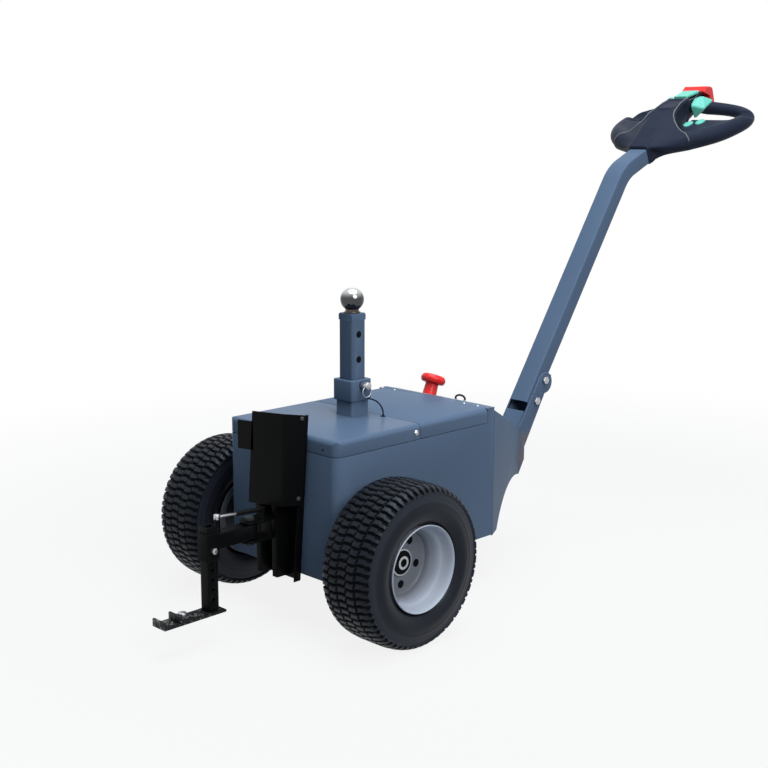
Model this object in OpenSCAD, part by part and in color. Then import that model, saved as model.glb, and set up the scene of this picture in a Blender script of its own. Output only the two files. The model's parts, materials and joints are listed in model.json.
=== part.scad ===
// Walk-behind electric baggage tug: two driven tyres, a rear castor, a sheet
// metal body with a hinged lid, a tow ball on a pinned post, a lifting front
// hitch arm and a bent tiller with a two-loop head.
// Millimetres. +X points back to the tiller, +Y to the left side, +Z up.
// The origin lies on the ground below the middle of the vehicle.

/* [Wheels] */
// Tyre diameter over the tread
tyre_d = 328; // [310:1:350]
// Tyre width over the sidewalls
tyre_w = 131; // [127:1:140]
// Distance between the two wheel centres
track_w = 520; // [505:1:560]
// Rim diameter over the lips
rim_d = 175; // [168:1:190]
// Rim width over the lips
rim_w = 124; // [114:1:126]
// Bead seat diameter of the rim
bead_d = 152; // [148:1:158]
// Hub tube diameter
hub_d = 48; // [42:1:54]
// Pitch circle of the wheel studs
stud_pcd = 76; // [72:1:92]
// Axle shaft diameter
axle_d = 25; // [20:1:30]

/* [Body] */
// Length of the body box
body_l = 472; // [450:1:520]
// Width of the body box
body_w = 332; // [310:1:350]
// Front wall ahead of the axle
nose_l = 84; // [75:1:100]
// Ground clearance under the pan
ground_gap = 111; // [104:1:120]
// Height of the side walls up to the covers
side_h = 259; // [245:1:280]
// Height of the covers' skirts
skirt_h = 31.5; // [27:0.5:38]
// Thickness of the sheet metal
sheet = 3; // [2:0.5:4]
// Length of the fixed front cover
front_cover_l = 235; // [228:1:250]
// Radius of the front vertical corners
corner_r = 17; // [14:1:24]
// Radius of the covers' top bends
bend_r = 11; // [8:1:14]
// Visible seam between sheet metal pieces
seam = 1.5; // [1:0.25:2]

/* [Console] */
// Length of the tapering console behind the body
console_l = 259; // [240:1:290]
// Width of the console where it meets the tiller channel
console_tip_w = 63; // [60:1:70]
// Height of the console's tip above the ground
console_tip_z = 292; // [280:1:305]
// Diameter of the emergency disconnect's red cap
stop_d = 56; // [46:1:60]
// Diameter of the key switch's bezel
key_d = 24; // [20:1:30]

/* [Tiller] */
// Width of the tiller tube
tube_w = 52; // [48:1:56]
// Depth of the tiller tube
tube_d = 41; // [38:1:46]
// Wall of the tiller tube
tube_wall = 3; // [2:0.5:5]
// Slope of the lower tiller above the floor
tiller_angle = 55.8; // [52:0.2:60]
// Slope of the upper tiller above the floor
upper_angle = 23.4; // [18:0.2:28]
// Length from the tube's foot to the bend's corner
lower_l = 676; // [600:2:740]
// Length from the bend's corner to the head
upper_l = 105; // [90:1:130]
// Outside radius of the bend
tube_bend_r = 130; // [110:2:170]
// Thickness of the channel's side plates
channel_t = 5; // [4:0.5:6]
// Diameter of the two tiller bolts
tiller_bolt_d = 12; // [10:1:14]

/* [Tiller head] */
// Length of the head along X
head_l = 317; // [290:1:340]
// Width of the head over the loops
head_w = 336; // [310:1:370]
// Rise of the head along Z
head_h = 169; // [155:1:185]
// Thickness of the loop bars
bar_d = 36; // [32:1:40]

/* [Tow post] */
// Width of the square tow post
post_w = 40; // [36:1:44]
// Wall of the tow post
post_wall = 4; // [3:0.5:6]
// Wall of the socket tube round the post
socket_wall = 4.7; // [4:0.1:7]
// Wall of the collar round the post
collar_wall = 8.7; // [8:0.1:11]
// Tow post axis behind the axle
post_x = 117; // [112:1:119]
// Height of the socket tube above the cover
socket_h = 32.5; // [26:0.5:40]
// Height of the collar
collar_h = 45; // [40:1:54]
// Height of the post above the collar
post_h = 125; // [118:1:150]
// Distance between the post's cross holes
post_hole_pitch = 53; // [48:1:58]
// Diameter of the post's cross holes
post_hole_d = 13; // [11:0.5:16]
// Tow ball diameter
ball_d = 50; // [48:1:60]

/* [Mast] */
// Height of the mast plate
mast_h = 328; // [300:1:340]
// Width of the mast plate
mast_w = 128; // [120:1:150]
// Ground clearance under the mast plate
mast_gap = 97; // [92:1:104]
// Width of one guide rail
rail_w = 15; // [13:1:18]
// Depth of the guide rails
rail_d = 36; // [32:1:42]
// Gap between the guide rails
rail_gap = 34; // [30:1:38]
// Width of the mast cover
mast_cover_w = 92; // [86:1:104]
// Height of the mast cover
mast_cover_h = 187; // [170:1:192]
// Sheet thickness of the mast cover
mast_sheet = 2; // [1.5:0.5:3]

/* [Hitch] */
// Pivot ahead of the guide rails
pivot_reach = 44; // [42:1:52]
// Width and height of the hitch arm's tube
arm_w = 30; // [26:1:34]
// Height of the hitch arm's underside above the ground
arm_z = 192; // [188:1:196]
// Pivot to the leg's axis
arm_l = 101; // [96:1:115]
// Diameter of the pivot bolt
pivot_d = 12; // [10:1:14]
// Length of the leg's sleeve
sleeve_h = 56; // [50:1:60]
// Wall of the leg's sleeve
sleeve_wall = 2.5; // [2:0.5:3.5]
// Height of the foot bar's underside above the ground
foot_z = 63; // [55:1:68]
// Length of the foot bar
foot_l = 147; // [138:1:165]
// Width of the foot bar
foot_w = 40; // [36:1:46]
// Thickness of the foot bar
foot_t = 5; // [4:0.5:7]
// Gap between the foot bar's lip and the jaw
jaw_gap = 32; // [26:1:34]
// Pivot to the damper's stud on the arm
damper_reach = 80; // [78:1:82]
// Diameter of the damper's cylinder
damper_d = 10; // [8:1:12]

/* [Castor] */
// Castor wheel diameter
castor_d = 80; // [75:1:84]
// Castor wheel width
castor_w = 30; // [26:1:34]
// Swivel axis behind the axle
castor_x = 318; // [300:1:330]
// Trail of the castor wheel
castor_trail = 34; // [30:1:38]

/* [Hidden] */
$fn = 64;

// Colours
paint = [0.30, 0.37, 0.45];
paint_dark = [0.10, 0.11, 0.12];
rubber = [0.09, 0.09, 0.10];
plastic = [0.16, 0.17, 0.20];
zinc = [0.75, 0.76, 0.78];
rim_grey = [0.66, 0.69, 0.74];
signal_red = [0.85, 0.18, 0.16];
signal_green = [0.42, 0.72, 0.66];

// General clearances
cut = 2;
fit = 0.3;
run_fit = 0.05;

// Wheels
axle_z = tyre_d / 2;
tyre_wall = 9;
bead_w = 13;
bead_h = 16;
tyre_section_h = (tyre_d - bead_d) / 2 - fit;
tyre_section_share = 0.72;
tyre_steps = 48;
lip_t = 4;
rim_t = 3.5;
drop_d = 128;
drop_w = 50;
drop_ramp = 8;
disc_offset = 5;
disc_t = 4;
hub_in = 48;
hub_out = 12;
hub_recess_d = 33;
axle_end_in = 6;
stud_hole_d = 13;
stud_count = 4;
axle_nut_d = 30;
axle_nut_t = 7;
flange_d = 84;
flange_t = 8;
housing_d = 44;

// Body
front_x = -nose_l;
rear_x = body_l - nose_l;
half_w = body_w / 2;
seam_z = ground_gap + side_h;
top_z = seam_z + skirt_h;
split_x = front_x + front_cover_l;
rear_strip = 22;
lip_root = 14;
lip_in = sheet + fit;
rail_under_w = 26;
rail_under_h = 14;
deck_z = top_z - sheet - fit;
lip_top_z = top_z - bend_r - fit;
hinge_r = 2.5;
hinge_l = body_w - 2 * rear_strip;
hinge_x = rear_x + hinge_r + fit;
hinge_z = top_z - hinge_r;

// Console
tip_x = rear_x + console_l;
console_top_z = top_z - 2 * hinge_r - fit - seam;
console_bottom_z = ground_gap - sheet;
console_flat_l = 42;
console_arc_r = 190;
console_tip_h = 117;
console_flange = 14;
panel_angle = atan2(console_top_z - console_tip_z, console_l);
stop_run = 20;
stop_side = 50;
stop_base_d = 38;
stop_base_h = 4;
stop_stem_d = 31;
stop_h = 38;
stop_cap_h = 17;
key_run = 18;
key_side = 46;
key_h = 8;
key_bow_d = 26;
key_bow_t = 4;
key_bow_hole_share = 0.55;

// Tiller
channel_in = 9;
channel_lean = 9;
web_t = 5;
channel_d = tube_d + fit + web_t;
plate_in_y = tube_w / 2 + fit;
plate_out_y = plate_in_y + channel_t;
cable_gap = 22;
bolt_low_t = 16.5;
bolt_high_t = 73.5;
bolt_depth = 28;
plate_top_t = 96;
plate_round_r = 26;
bolt_head_d = 20;
bolt_head_h = 7;
channel_heel = 31;
facet_t = 4;
tl_u = [cos(tiller_angle), sin(tiller_angle)];
tl_v = [sin(tiller_angle), -cos(tiller_angle)];
tip_front = [tip_x, console_tip_z];
facet_l = 43;
foot_point = tip_front + (facet_l + cable_gap) * tl_u - channel_in * tl_v;
function on_tiller(t, d) = foot_point + t * tl_u + d * tl_v;
bend_turn = tiller_angle - upper_angle;
bend_tangent = tube_bend_r * tan(bend_turn / 2);
bend_corner = on_tiller(lower_l, 0);
bend_centre = on_tiller(lower_l - bend_tangent, tube_bend_r);
tube_steps = 24;
up_u = [cos(upper_angle), sin(upper_angle)];
up_v = [sin(upper_angle), -cos(upper_angle)];
head_point = bend_corner + upper_l * up_u;
head_end_x = head_point[0] + head_l;
head_end_z = head_point[1] + head_h;

// Tiller head, places as shares of its length, half width and rise
head_fn = 16;
head_edge_r = 7;
spine_top_shares = [[0.02, 0.05], [0.20, 0.33], [0.405, 0.665], [0.57, 0.79], [0.80, 0.925], [0.92, 0.84]];
spine_low_shares = [[0.07, -0.165], [0.255, 0.0], [0.47, 0.22], [0.63, 0.40], [0.79, 0.55], [0.90, 0.60]];
spine_top_width_shares = [0.155, 0.16, 0.15, 0.14, 0.14, 0.14];
spine_low_width_shares = [0.155, 0.24, 0.25, 0.17, 0.17, 0.16];
loop_shares = [[0.13, 0.10, 0.00, 0.54], [0.20, 0.52, 0.10, 0.54], [0.295, 0.79, 0.205, 0.52],
    [0.44, 0.892, 0.32, 0.50], [0.64, 0.900, 0.45, 0.48], [0.815, 0.85, 0.54, 0.46],
    [0.89, 0.68, 0.595, 0.45], [0.91, 0.44, 0.635, 0.46], [0.88, 0.17, 0.66, 0.50]];
loop_steps = 2;
wing_shares = [[0.23, 0.26, 0.14, 0.34], [0.25, 0.60, 0.16, 0.30], [0.47, 0.80, 0.33, 0.26],
    [0.475, 0.30, 0.35, 0.26]];
sleeve_grow = 3;
head_sleeve_l = 26;
red_w = 62;
red_shares = [[0.80, 0.905], [0.845, 1.0], [0.945, 1.0], [1.0, 0.735], [0.925, 0.735], [0.905, 0.86]];
paddle_shares = [0.735, 0.665];
paddle_in_y = 42;
paddle_t = 9;
paddle_d = 58;
paddle_shaft_d = 14;
paddle_wing = 22;
paddle_wing_t = 13;
thumb_shares = [[0.435, 0.37], [0.475, 0.54]];
thumb_rise_share = 0.42;
thumb_d = 20;
thumb_h = 14;
horn_from_share = 0.655;
horn_to_share = 0.785;
horn_low_share = 0.835;
horn_high_share = 0.912;
horn_w = 38;
horn_t = 7;
horn_proud = 2;

// Tow post
socket_in = post_w + 2 * fit;
socket_out = socket_in + 2 * socket_wall;
collar_out = socket_in + 2 * collar_wall;
post_r = 5;
collar_z = top_z + socket_h;
collar_top_z = collar_z + collar_h;
pin_z = collar_top_z - collar_h / 4;
post_top_z = collar_top_z + post_h;
post_foot_z = top_z - socket_h;
cap_h = 14;
cap_edge = 3;
cap_neck_d = 34;
neck_d = 29;
neck_h = 8;
ball_flat_d = 18;
ball_z = post_top_z + cap_h + neck_h + sqrt(pow(ball_d / 2, 2) - pow(neck_d / 2, 2));
pin_d = post_hole_d - 2 * fit;
pin_head_d = 16;
pin_head_l = 21;
ring_d = 24;
ring_wire = 2;
ring_back = 6;
wire_d = 3.2;
wire_r = 35;
wire_turn = -32;
wire_eye_d = 11;
wire_eye_t = 1.5;
ferrule_d = 5;

// Mast
mast_plate_t = 4;
mast_x = front_x - mast_plate_t;
rail_x = mast_x - rail_d;
rail_z = mast_gap + 8 * mast_plate_t / 4;
rail_top_z = mast_gap + mast_h - 2 * mast_plate_t;
mast_cover_x = rail_x - mast_sheet - seam;
mast_cover_top_z = mast_gap + mast_h + 9 * mast_sheet;
mast_cover_z = mast_cover_top_z - mast_cover_h;
mast_tab_w = 31;
mast_tab_h = 62;
mast_tab_drop = 26;
mast_slope = 6;

// Hitch
pivot_x = rail_x - pivot_reach;
washer_t = 2.4;
clevis_t = 5;
clevis_r = 20;
clevis_gap_z = arm_z - washer_t;
arm_top_z = arm_z + arm_w;
carriage_z = clevis_gap_z - clevis_t;
carriage_top_z = arm_top_z + washer_t + clevis_t;
boss_d = 34;
arm_wall = 2.5;
leg_x = pivot_x - arm_l;
leg_w = arm_w - 2 * sleeve_wall - 2 * fit;
sleeve_top_z = arm_top_z + 4;
leg_top = 13;
leg_hole_d = 6.5;
leg_hole_pitch = 20;
leg_hole_count = 5;
foot_back = 25;
foot_lip = 16;
foot_front_x = leg_x + foot_back - foot_l;
slot_l = 50;
slot_w = 10;
jaw_t = 5;
jaw_h = 14;
jaw_l = 36;
jaw_nut_d = 17;
jaw_nut_h = 8;
stud_d = 8;
stud_base_d = 13;
stud_h = 25;
damper_z = arm_top_z + stud_h + damper_d / 2 + fit;
anchor_dx = 18;
anchor_dy = -20;
anchor_x = pivot_x + anchor_dx;
arm_stud_x = pivot_x - damper_reach;
damper_dx = arm_stud_x - anchor_x;
damper_l = sqrt(pow(damper_dx, 2) + pow(anchor_dy, 2));
damper_yaw = atan2(-anchor_dy, damper_dx);
damper_cyl_l = 58;
damper_rod_d = 5;
damper_eye_d = 12;

// Castor
castor_plate_l = 90;
castor_plate_w = 76;
castor_plate_t = 4;
castor_head_d = 52;
castor_head_h = 10;
castor_fork_t = 3;
castor_axle_d = 10;
castor_crown_z = ground_gap - castor_plate_t - castor_head_h - fit;
castor_axle_x = castor_x + castor_trail;
castor_tread = 12;

// Inner masses
battery_l = 166;
battery_w = 126;
battery_h = 170;
battery_gap = 12;
battery_x = rear_x - 9 * sheet - battery_l;
terminal_d = 14;
terminal_h = 10;
gearbox_d = 116;
gearbox_w = 86;
motor_d = 92;
motor_l = 128;
axle_bush_d = 52;

// Ends of the vehicle along X, and its middle
mid_x = (foot_front_x + head_end_x) / 2;
stud_y = track_w / 2;

module placed() {
    translate([-mid_x, 0, 0]) children();
}

// Prism along Y from an outline drawn in X and Z, centred on the middle plane
module side_prism(w) {
    rotate([90, 0, 0]) translate([0, 0, -w / 2]) linear_extrude(w) children();
}

// Square with round corners, centred
module round_square(w, d, r) {
    square([w - 2 * r, d], center = true);
    square([w, d - 2 * r], center = true);
    for (sx = [-1, 1], sy = [-1, 1]) {
        translate([sx * (w / 2 - r), sy * (d / 2 - r)]) circle(r);
    }
}

// Square tube section, centred
module tube_section(w, d, wall, r) {
    difference() {
        round_square(w, d, r);
        round_square(w - 2 * wall, d - 2 * wall, r / 2);
    }
}

// Body outline in plan, with round front corners
module body_outline(inset) {
    r = corner_r - inset;
    w = body_w - 2 * inset;
    l = body_l - 2 * inset;
    translate([front_x + inset, 0]) {
        translate([r, -w / 2]) square([l - r, w]);
        translate([0, r - w / 2]) square([l, w - 2 * r]);
        for (s = [-1, 1]) translate([r, s * (w / 2 - r)]) circle(r);
    }
}

// Closed block under the covers' skin, set in by the sheet
module cover_block(inset) {
    r = bend_r - inset;
    hw = half_w - inset;
    z1 = top_z - inset;
    x0 = front_x + inset;
    h = z1 - seam_z + inset;
    intersection() {
        translate([0, 0, z1 - h]) linear_extrude(h) body_outline(inset);
        translate([front_x - cut, 0, 0]) rotate([90, 0, 90]) linear_extrude(body_l + 2 * cut) {
            translate([-hw, z1 - h]) square([2 * hw, h - r]);
            translate([r - hw, z1 - h]) square([2 * hw - 2 * r, h]);
            for (s = [-1, 1]) translate([s * (hw - r), z1 - r]) circle(r);
        }
        side_prism(body_w + 2 * cut) {
            translate([x0, z1 - h]) square([body_l, h - r]);
            translate([x0 + r, z1 - h]) square([body_l, h]);
            translate([x0 + r, z1 - r]) circle(r);
        }
    }
}

// Slice of the covers' skin between two stations
module cover_slice(x0, x1) {
    intersection() {
        difference() {
            cover_block(0);
            translate([0, 0, -fit]) cover_block(sheet);
            translate([front_x + sheet + bend_r, sheet - half_w, seam_z - cut])
                cube([body_l, body_w - 2 * sheet, skirt_h - bend_r]);
        }
        translate([x0, -body_w, seam_z - cut]) cube([x1 - x0, 2 * body_w, skirt_h + 2 * cut]);
    }
}

// Body: pan, walls, the lip behind the skirts and the rail under the covers' joint
module body_tub() {
    lip_z = seam_z - seam - lip_root;
    color(paint) placed() difference() {
        union() {
            difference() {
                union() {
                    translate([0, 0, ground_gap]) linear_extrude(side_h - seam) body_outline(0);
                    translate([0, 0, lip_z]) linear_extrude(lip_top_z - lip_z) body_outline(lip_in);
                    translate([rear_x - rear_strip, -half_w, ground_gap])
                        cube([rear_strip, body_w, deck_z - ground_gap]);
                }
                translate([0, 0, ground_gap + sheet]) linear_extrude(lip_z - ground_gap - sheet)
                    body_outline(sheet);
                translate([0, 0, ground_gap + sheet]) linear_extrude(body_l) body_outline(lip_in + sheet);
            }
            translate([split_x - rail_under_w / 2, 0, 0]) rotate([90, 0, 90]) linear_extrude(rail_under_w) {
                translate([lip_in + sheet / 2 - half_w, deck_z - rail_under_h])
                    square([body_w - 2 * lip_in - sheet, lip_top_z - deck_z + rail_under_h]);
                translate([bend_r - half_w, deck_z - rail_under_h])
                    square([body_w - 2 * bend_r, rail_under_h]);
            }
        }
        translate([0, 0, axle_z]) rotate([90, 0, 0])
            cylinder(d = housing_d + 2 * fit, h = body_w + 2 * cut, center = true);
        translate([post_x, 0, deck_z]) cube([socket_out + 2 * fit, socket_out + 2 * fit, 2 * rail_under_h + cut],
            center = true);
    }
}

// Fixed front cover with the hole for the post's socket
module front_cover() {
    color(paint) placed() difference() {
        cover_slice(front_x - cut, split_x - seam / 2);
        translate([post_x, 0, top_z]) linear_extrude(4 * sheet, center = true)
            round_square(socket_out + 2 * fit, socket_out + 2 * fit, post_r);
    }
}

// Hinged rear lid, its skirts stopping short of the hinge
module rear_lid() {
    x0 = split_x + seam / 2;
    color(paint) placed() {
        difference() {
            cover_slice(x0, rear_x);
            translate([rear_x - rear_strip - seam, -body_w, seam_z - cut])
                cube([body_l, 2 * body_w, skirt_h + cut - sheet]);
        }
        translate([rear_x - rear_strip - seam, -half_w, top_z - sheet])
            cube([rear_strip + seam, body_w, sheet]);
    }
}

// Hinge rod behind the lid
module hinge_rod() {
    color(zinc) placed() translate([hinge_x, 0, hinge_z]) rotate([90, 0, 0])
        cylinder(r = hinge_r, h = hinge_l, center = true);
}

// Console's side outline in X and Z, set in by the sheet
module console_side(inset) {
    bottom = console_bottom_z + inset;
    arc_x = rear_x + console_flat_l;
    tip_low = console_tip_z - console_tip_h + inset;
    rise = tip_low - bottom;
    run = tip_x - arc_x;
    difference() {
        polygon([[rear_x, bottom], [arc_x, bottom], [tip_x, tip_low], [tip_x + inset, console_tip_z - inset],
            [rear_x, console_top_z - inset]]);
        translate([(arc_x + tip_x) / 2, (bottom + tip_low) / 2])
            rotate(atan2(rise, run)) translate([0, -sqrt(pow(console_arc_r, 2) - (run * run + rise * rise) / 4)])
            circle(console_arc_r);
    }
}

// Console's outline in plan, set in by the sheet
module console_plan(inset) {
    polygon([[rear_x, -half_w + inset], [tip_x, inset - console_tip_w / 2], [tip_x, console_tip_w / 2 - inset],
        [rear_x, half_w - inset]]);
}

module console_block(inset) {
    intersection() {
        side_prism(body_w) console_side(inset);
        linear_extrude(top_z) console_plan(inset);
    }
}

// Tapering console: folded shell with a flange against the body
module console() {
    color(paint) placed() difference() {
        union() {
            intersection() {
                console_block(0);
                translate([rear_x + seam, -body_w, 0]) cube([2 * console_l, 2 * body_w, top_z]);
            }
            intersection() {
                console_block(sheet / 2);
                translate([rear_x, -body_w, 0]) cube([console_flange, 2 * body_w, top_z]);
            }
        }
        intersection() {
            console_block(sheet);
            translate([rear_x + console_flange, -body_w, 0])
                cube([console_l - console_flange - sheet, 2 * body_w, top_z]);
        }
        intersection() {
            console_block(2 * sheet);
            translate([rear_x - cut, -body_w, 0]) cube([console_flange + 2 * cut, 2 * body_w, top_z]);
        }
    }
}

// Puts a fitting on the sloping control panel
module on_panel(run, side) {
    translate([rear_x + run, side, console_top_z - run * tan(panel_angle)]) rotate([0, panel_angle, 0])
        children();
}

// Red emergency disconnect: base ring, stem and mushroom cap
module emergency_disconnect() {
    cap_r = stop_d / 2;
    color(signal_red) placed() on_panel(stop_run, stop_side) {
        cylinder(d = stop_base_d, h = stop_base_h);
        cylinder(d = stop_stem_d, h = stop_h - stop_cap_h / 2);
        translate([0, 0, stop_h - stop_cap_h]) rotate_extrude() {
            square([cap_r - stop_cap_h / 2, stop_cap_h]);
            translate([cap_r - stop_cap_h / 2, stop_cap_h / 2]) circle(d = stop_cap_h);
        }
    }
}

// Key switch: bezel and the key's bow standing on edge
module key_switch() {
    color(plastic) placed() on_panel(key_run, -key_side) {
        cylinder(d = key_d, h = key_h);
        translate([0, 0, key_h + key_bow_d / 2 - key_bow_t / 2]) rotate([90, 0, 45]) difference() {
            cylinder(d = key_bow_d, h = key_bow_t, center = true);
            cylinder(d = key_bow_d * key_bow_hole_share, h = key_bow_t + cut, center = true);
        }
    }
}

// Side outline of the channel's plates in X and Z
module channel_side() {
    heel = on_tiller(-facet_l - cable_gap - channel_heel, channel_d + channel_lean);
    tip_low = console_tip_z - console_tip_h;
    corner = on_tiller(plate_top_t - plate_round_r, channel_in + plate_round_r);
    polygon([[tip_x, tip_low], [heel[0], heel[1] - channel_heel], heel, on_tiller(plate_top_t, channel_d),
        on_tiller(plate_top_t, channel_in + plate_round_r), corner,
        on_tiller(plate_top_t - plate_round_r, channel_in), tip_front]);
    translate(corner) circle(plate_round_r);
}

// U channel that carries the tiller: plates, web and the closing facet
module tiller_channel() {
    heel = on_tiller(-facet_l - cable_gap - channel_heel, channel_d + channel_lean);
    facet_top = tip_front + facet_l * tl_u;
    color(paint) placed() difference() {
        union() {
            for (s = [-1, 1]) translate([0, s * (plate_in_y + channel_t / 2), 0]) side_prism(channel_t)
                channel_side();
            side_prism(2 * plate_in_y + channel_t) {
                polygon([heel, on_tiller(plate_top_t, channel_d), on_tiller(plate_top_t, channel_d - web_t),
                    heel - web_t * tl_v]);
                polygon([heel, [heel[0], heel[1] - channel_heel], [heel[0] - web_t, heel[1] - channel_heel],
                    heel - web_t * tl_v]);
                polygon([tip_front, facet_top, facet_top + facet_t * tl_v, tip_front + facet_t * tl_v]);
            }
        }
        for (t = [bolt_low_t, bolt_high_t]) tiller_bolt_hole(t);
    }
}

module tiller_bolt_hole(t) {
    p = on_tiller(t, bolt_depth);
    translate([p[0], 0, p[1]]) rotate([90, 0, 0])
        cylinder(d = tiller_bolt_d + 2 * fit, h = 2 * plate_out_y + cut, center = true);
}

// Two bolts with heads and nuts through the channel and the tube
module tiller_bolts() {
    color(zinc) placed() for (t = [bolt_low_t, bolt_high_t]) {
        p = on_tiller(t, bolt_depth);
        translate([p[0], 0, p[1]]) rotate([90, 0, 0]) {
            cylinder(d = tiller_bolt_d, h = 2 * plate_out_y + bolt_head_h, center = true);
            for (s = [-1, 1]) translate([0, 0, s * (plate_out_y + bolt_head_h / 2)])
                cylinder(d = bolt_head_d, h = bolt_head_h, center = true, $fn = 6);
        }
    }
}

// Stands a prism along the tiller's side plane: local X is depth, local Z runs along the tube
module along_tiller(p, angle) {
    translate([p[0], 0, p[1]]) rotate([0, 90 - angle, 0]) children();
}

// Line along the bent tube at one depth behind its front face, run past both ends
function tube_line(d, over) = concat([on_tiller(-over, d)],
    [for (i = [0 : tube_steps]) let (a = tiller_angle + 90 - bend_turn * i / tube_steps)
        bend_centre + (tube_bend_r - d) * [cos(a), sin(a)]],
    [head_point + d * up_v + over * up_u]);

// Side outline of the bent tube between two depths
module tube_strip(d0, d1, over) {
    back = tube_line(d1, over);
    polygon(concat(tube_line(d0, over), [for (i = [len(back) - 1 : -1 : 0]) back[i]]));
}

// Bent rectangular tube
module tiller_tube() {
    color(paint) placed() difference() {
        side_prism(tube_w) tube_strip(0, tube_d, 0);
        side_prism(tube_w - 2 * tube_wall) tube_strip(tube_wall, tube_d - tube_wall, cut);
        for (t = [bolt_low_t, bolt_high_t]) tiller_bolt_hole(t);
    }
}

// Point of the head from shares of its length, half width and rise
function head_at(a, b, c) = [head_point[0] + a * head_l, b * head_w / 2, head_point[1] + c * head_h];

// Catmull-Rom blend of four numbers or points
function blend(a, b, c, d, t) = 0.5 * ((2 * b) + (c - a) * t + (2 * a - 5 * b + 4 * c - d) * t * t
    + (3 * b - a - 3 * c + d) * t * t * t);

loop_last = len(loop_shares) - 1;
loop_path = [for (i = [0 : loop_last - 1], k = [0 : loop_steps - 1])
    blend(loop_shares[max(i - 1, 0)], loop_shares[i], loop_shares[i + 1], loop_shares[min(i + 2, loop_last)],
        k / loop_steps), loop_shares[loop_last]];

module head_ball(share, side) {
    translate(head_at(share[0], side * share[1], share[2])) sphere(d = share[3] * bar_d * 2, $fn = head_fn);
}

module spine_section(i) {
    for (s = [-1, 1]) {
        translate(head_at(spine_top_shares[i][0], s * spine_top_width_shares[i], spine_top_shares[i][1])
            - [0, s * head_edge_r, head_edge_r]) sphere(head_edge_r, $fn = head_fn);
        translate(head_at(spine_low_shares[i][0], s * spine_low_width_shares[i], spine_low_shares[i][1])
            + [0, -s * head_edge_r, head_edge_r]) sphere(head_edge_r, $fn = head_fn);
    }
}

module red_outline(grow) {
    points = [for (p = red_shares) [head_point[0] + p[0] * head_l, head_point[1] + p[1] * head_h]];
    polygon(points);
    if (grow > 0) {
        translate([-grow, 0]) polygon(points);
        translate([0, -grow]) polygon(points);
    }
}

module thumb_button(side, share, grow) {
    translate(head_at(share[0], side * share[1], thumb_rise_share)) rotate([0, -upper_angle, 0])
        translate([0, 0, -thumb_h - grow]) cylinder(d = thumb_d + 2 * grow, h = thumb_h + grow);
}

module horn_pad(grow) {
    low = head_at(horn_from_share, 0, horn_low_share);
    high = head_at(horn_to_share, 0, horn_high_share);
    run = high - low;
    translate([low[0], 0, low[2]]) rotate([0, -atan2(run[2], run[0]), 0])
        translate([-grow, -horn_w / 2 - grow, horn_proud - horn_t - grow])
        cube([norm(run) + 2 * grow, horn_w + 2 * grow, horn_t + grow]);
}

module paddle_shaft(grow) {
    p = head_at(paddle_shares[0], 0, paddle_shares[1]);
    translate(p) rotate([90, 0, 0])
        cylinder(d = paddle_shaft_d + 2 * grow, h = 2 * paddle_in_y + 2 * paddle_t * (1 - sign(grow)), center = true);
}

// Moulded tiller head: spine, sleeve and two closed hand loops
module tiller_head() {
    color(plastic) placed() difference() {
        union() {
            for (i = [0 : len(spine_top_shares) - 2]) hull() {
                spine_section(i);
                spine_section(i + 1);
            }
            for (s = [-1, 1], i = [0 : len(loop_path) - 2]) hull() {
                head_ball(loop_path[i], s);
                head_ball(loop_path[i + 1], s);
            }
            for (s = [-1, 1]) hull() for (w = wing_shares) head_ball(w, s);
            along_tiller(head_point - sleeve_grow * up_v, upper_angle)
                translate([0, -tube_w / 2 - sleeve_grow, 0])
                cube([tube_d + 2 * sleeve_grow, tube_w + 2 * sleeve_grow, head_sleeve_l]);
        }
        along_tiller(head_point - head_l * up_v, upper_angle) translate([0, -head_w, -head_l])
            cube([2 * head_l, 2 * head_w, head_l]);
        side_prism(red_w + 2 * fit) red_outline(fit);
        for (s = [-1, 1], b = thumb_shares) thumb_button(s, b, fit);
        horn_pad(fit);
        paddle_shaft(fit);
        for (s = [-1, 1]) paddle_recess(s);
    }
}

module paddle_recess(side) {
    p = head_at(paddle_shares[0], 0, paddle_shares[1]);
    translate(p + [0, side * (paddle_in_y + paddle_d / 2 - fit), 0]) rotate([90, 0, 0])
        cylinder(d = paddle_d + 4 * fit + 2 * cut, h = paddle_d, center = true);
}

// Green butterfly paddles on one cross shaft
module drive_paddles() {
    p = head_at(paddle_shares[0], 0, paddle_shares[1]);
    color(signal_green) placed() {
        paddle_shaft(0);
        for (s = [-1, 1]) translate(p + [0, s * (paddle_in_y + paddle_t / 2), 0]) {
            rotate([90, 0, 0]) cylinder(d = paddle_d, h = paddle_t, center = true);
            translate([0, s * paddle_wing / 2, 0]) rotate([0, -tiller_angle, 0])
                cube([paddle_d - paddle_wing_t, paddle_wing, paddle_wing_t], center = true);
        }
    }
}

// Green thumb buttons and the horn pad
module thumb_buttons() {
    color(signal_green) placed() {
        for (s = [-1, 1], b = thumb_shares) thumb_button(s, b, 0);
        horn_pad(0);
    }
}

// Red reverse button at the head's end
module reverse_button() {
    color(signal_red) placed() side_prism(red_w) red_outline(0);
}

// Socket tube from the pan up through the cover
module post_socket() {
    color(paint) placed() translate([post_x, 0, ground_gap + sheet])
        linear_extrude(collar_z - ground_gap - sheet) tube_section(socket_out, socket_out, socket_wall, post_r);
}

// Collar on top of the socket with the pin's hole
module post_collar() {
    color(paint) placed() difference() {
        translate([post_x, 0, collar_z]) linear_extrude(collar_h)
            tube_section(collar_out, collar_out, collar_wall, post_r);
        translate([post_x, 0, pin_z]) rotate([90, 0, 0])
            cylinder(d = post_hole_d, h = 2 * collar_out, center = true);
    }
}

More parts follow.
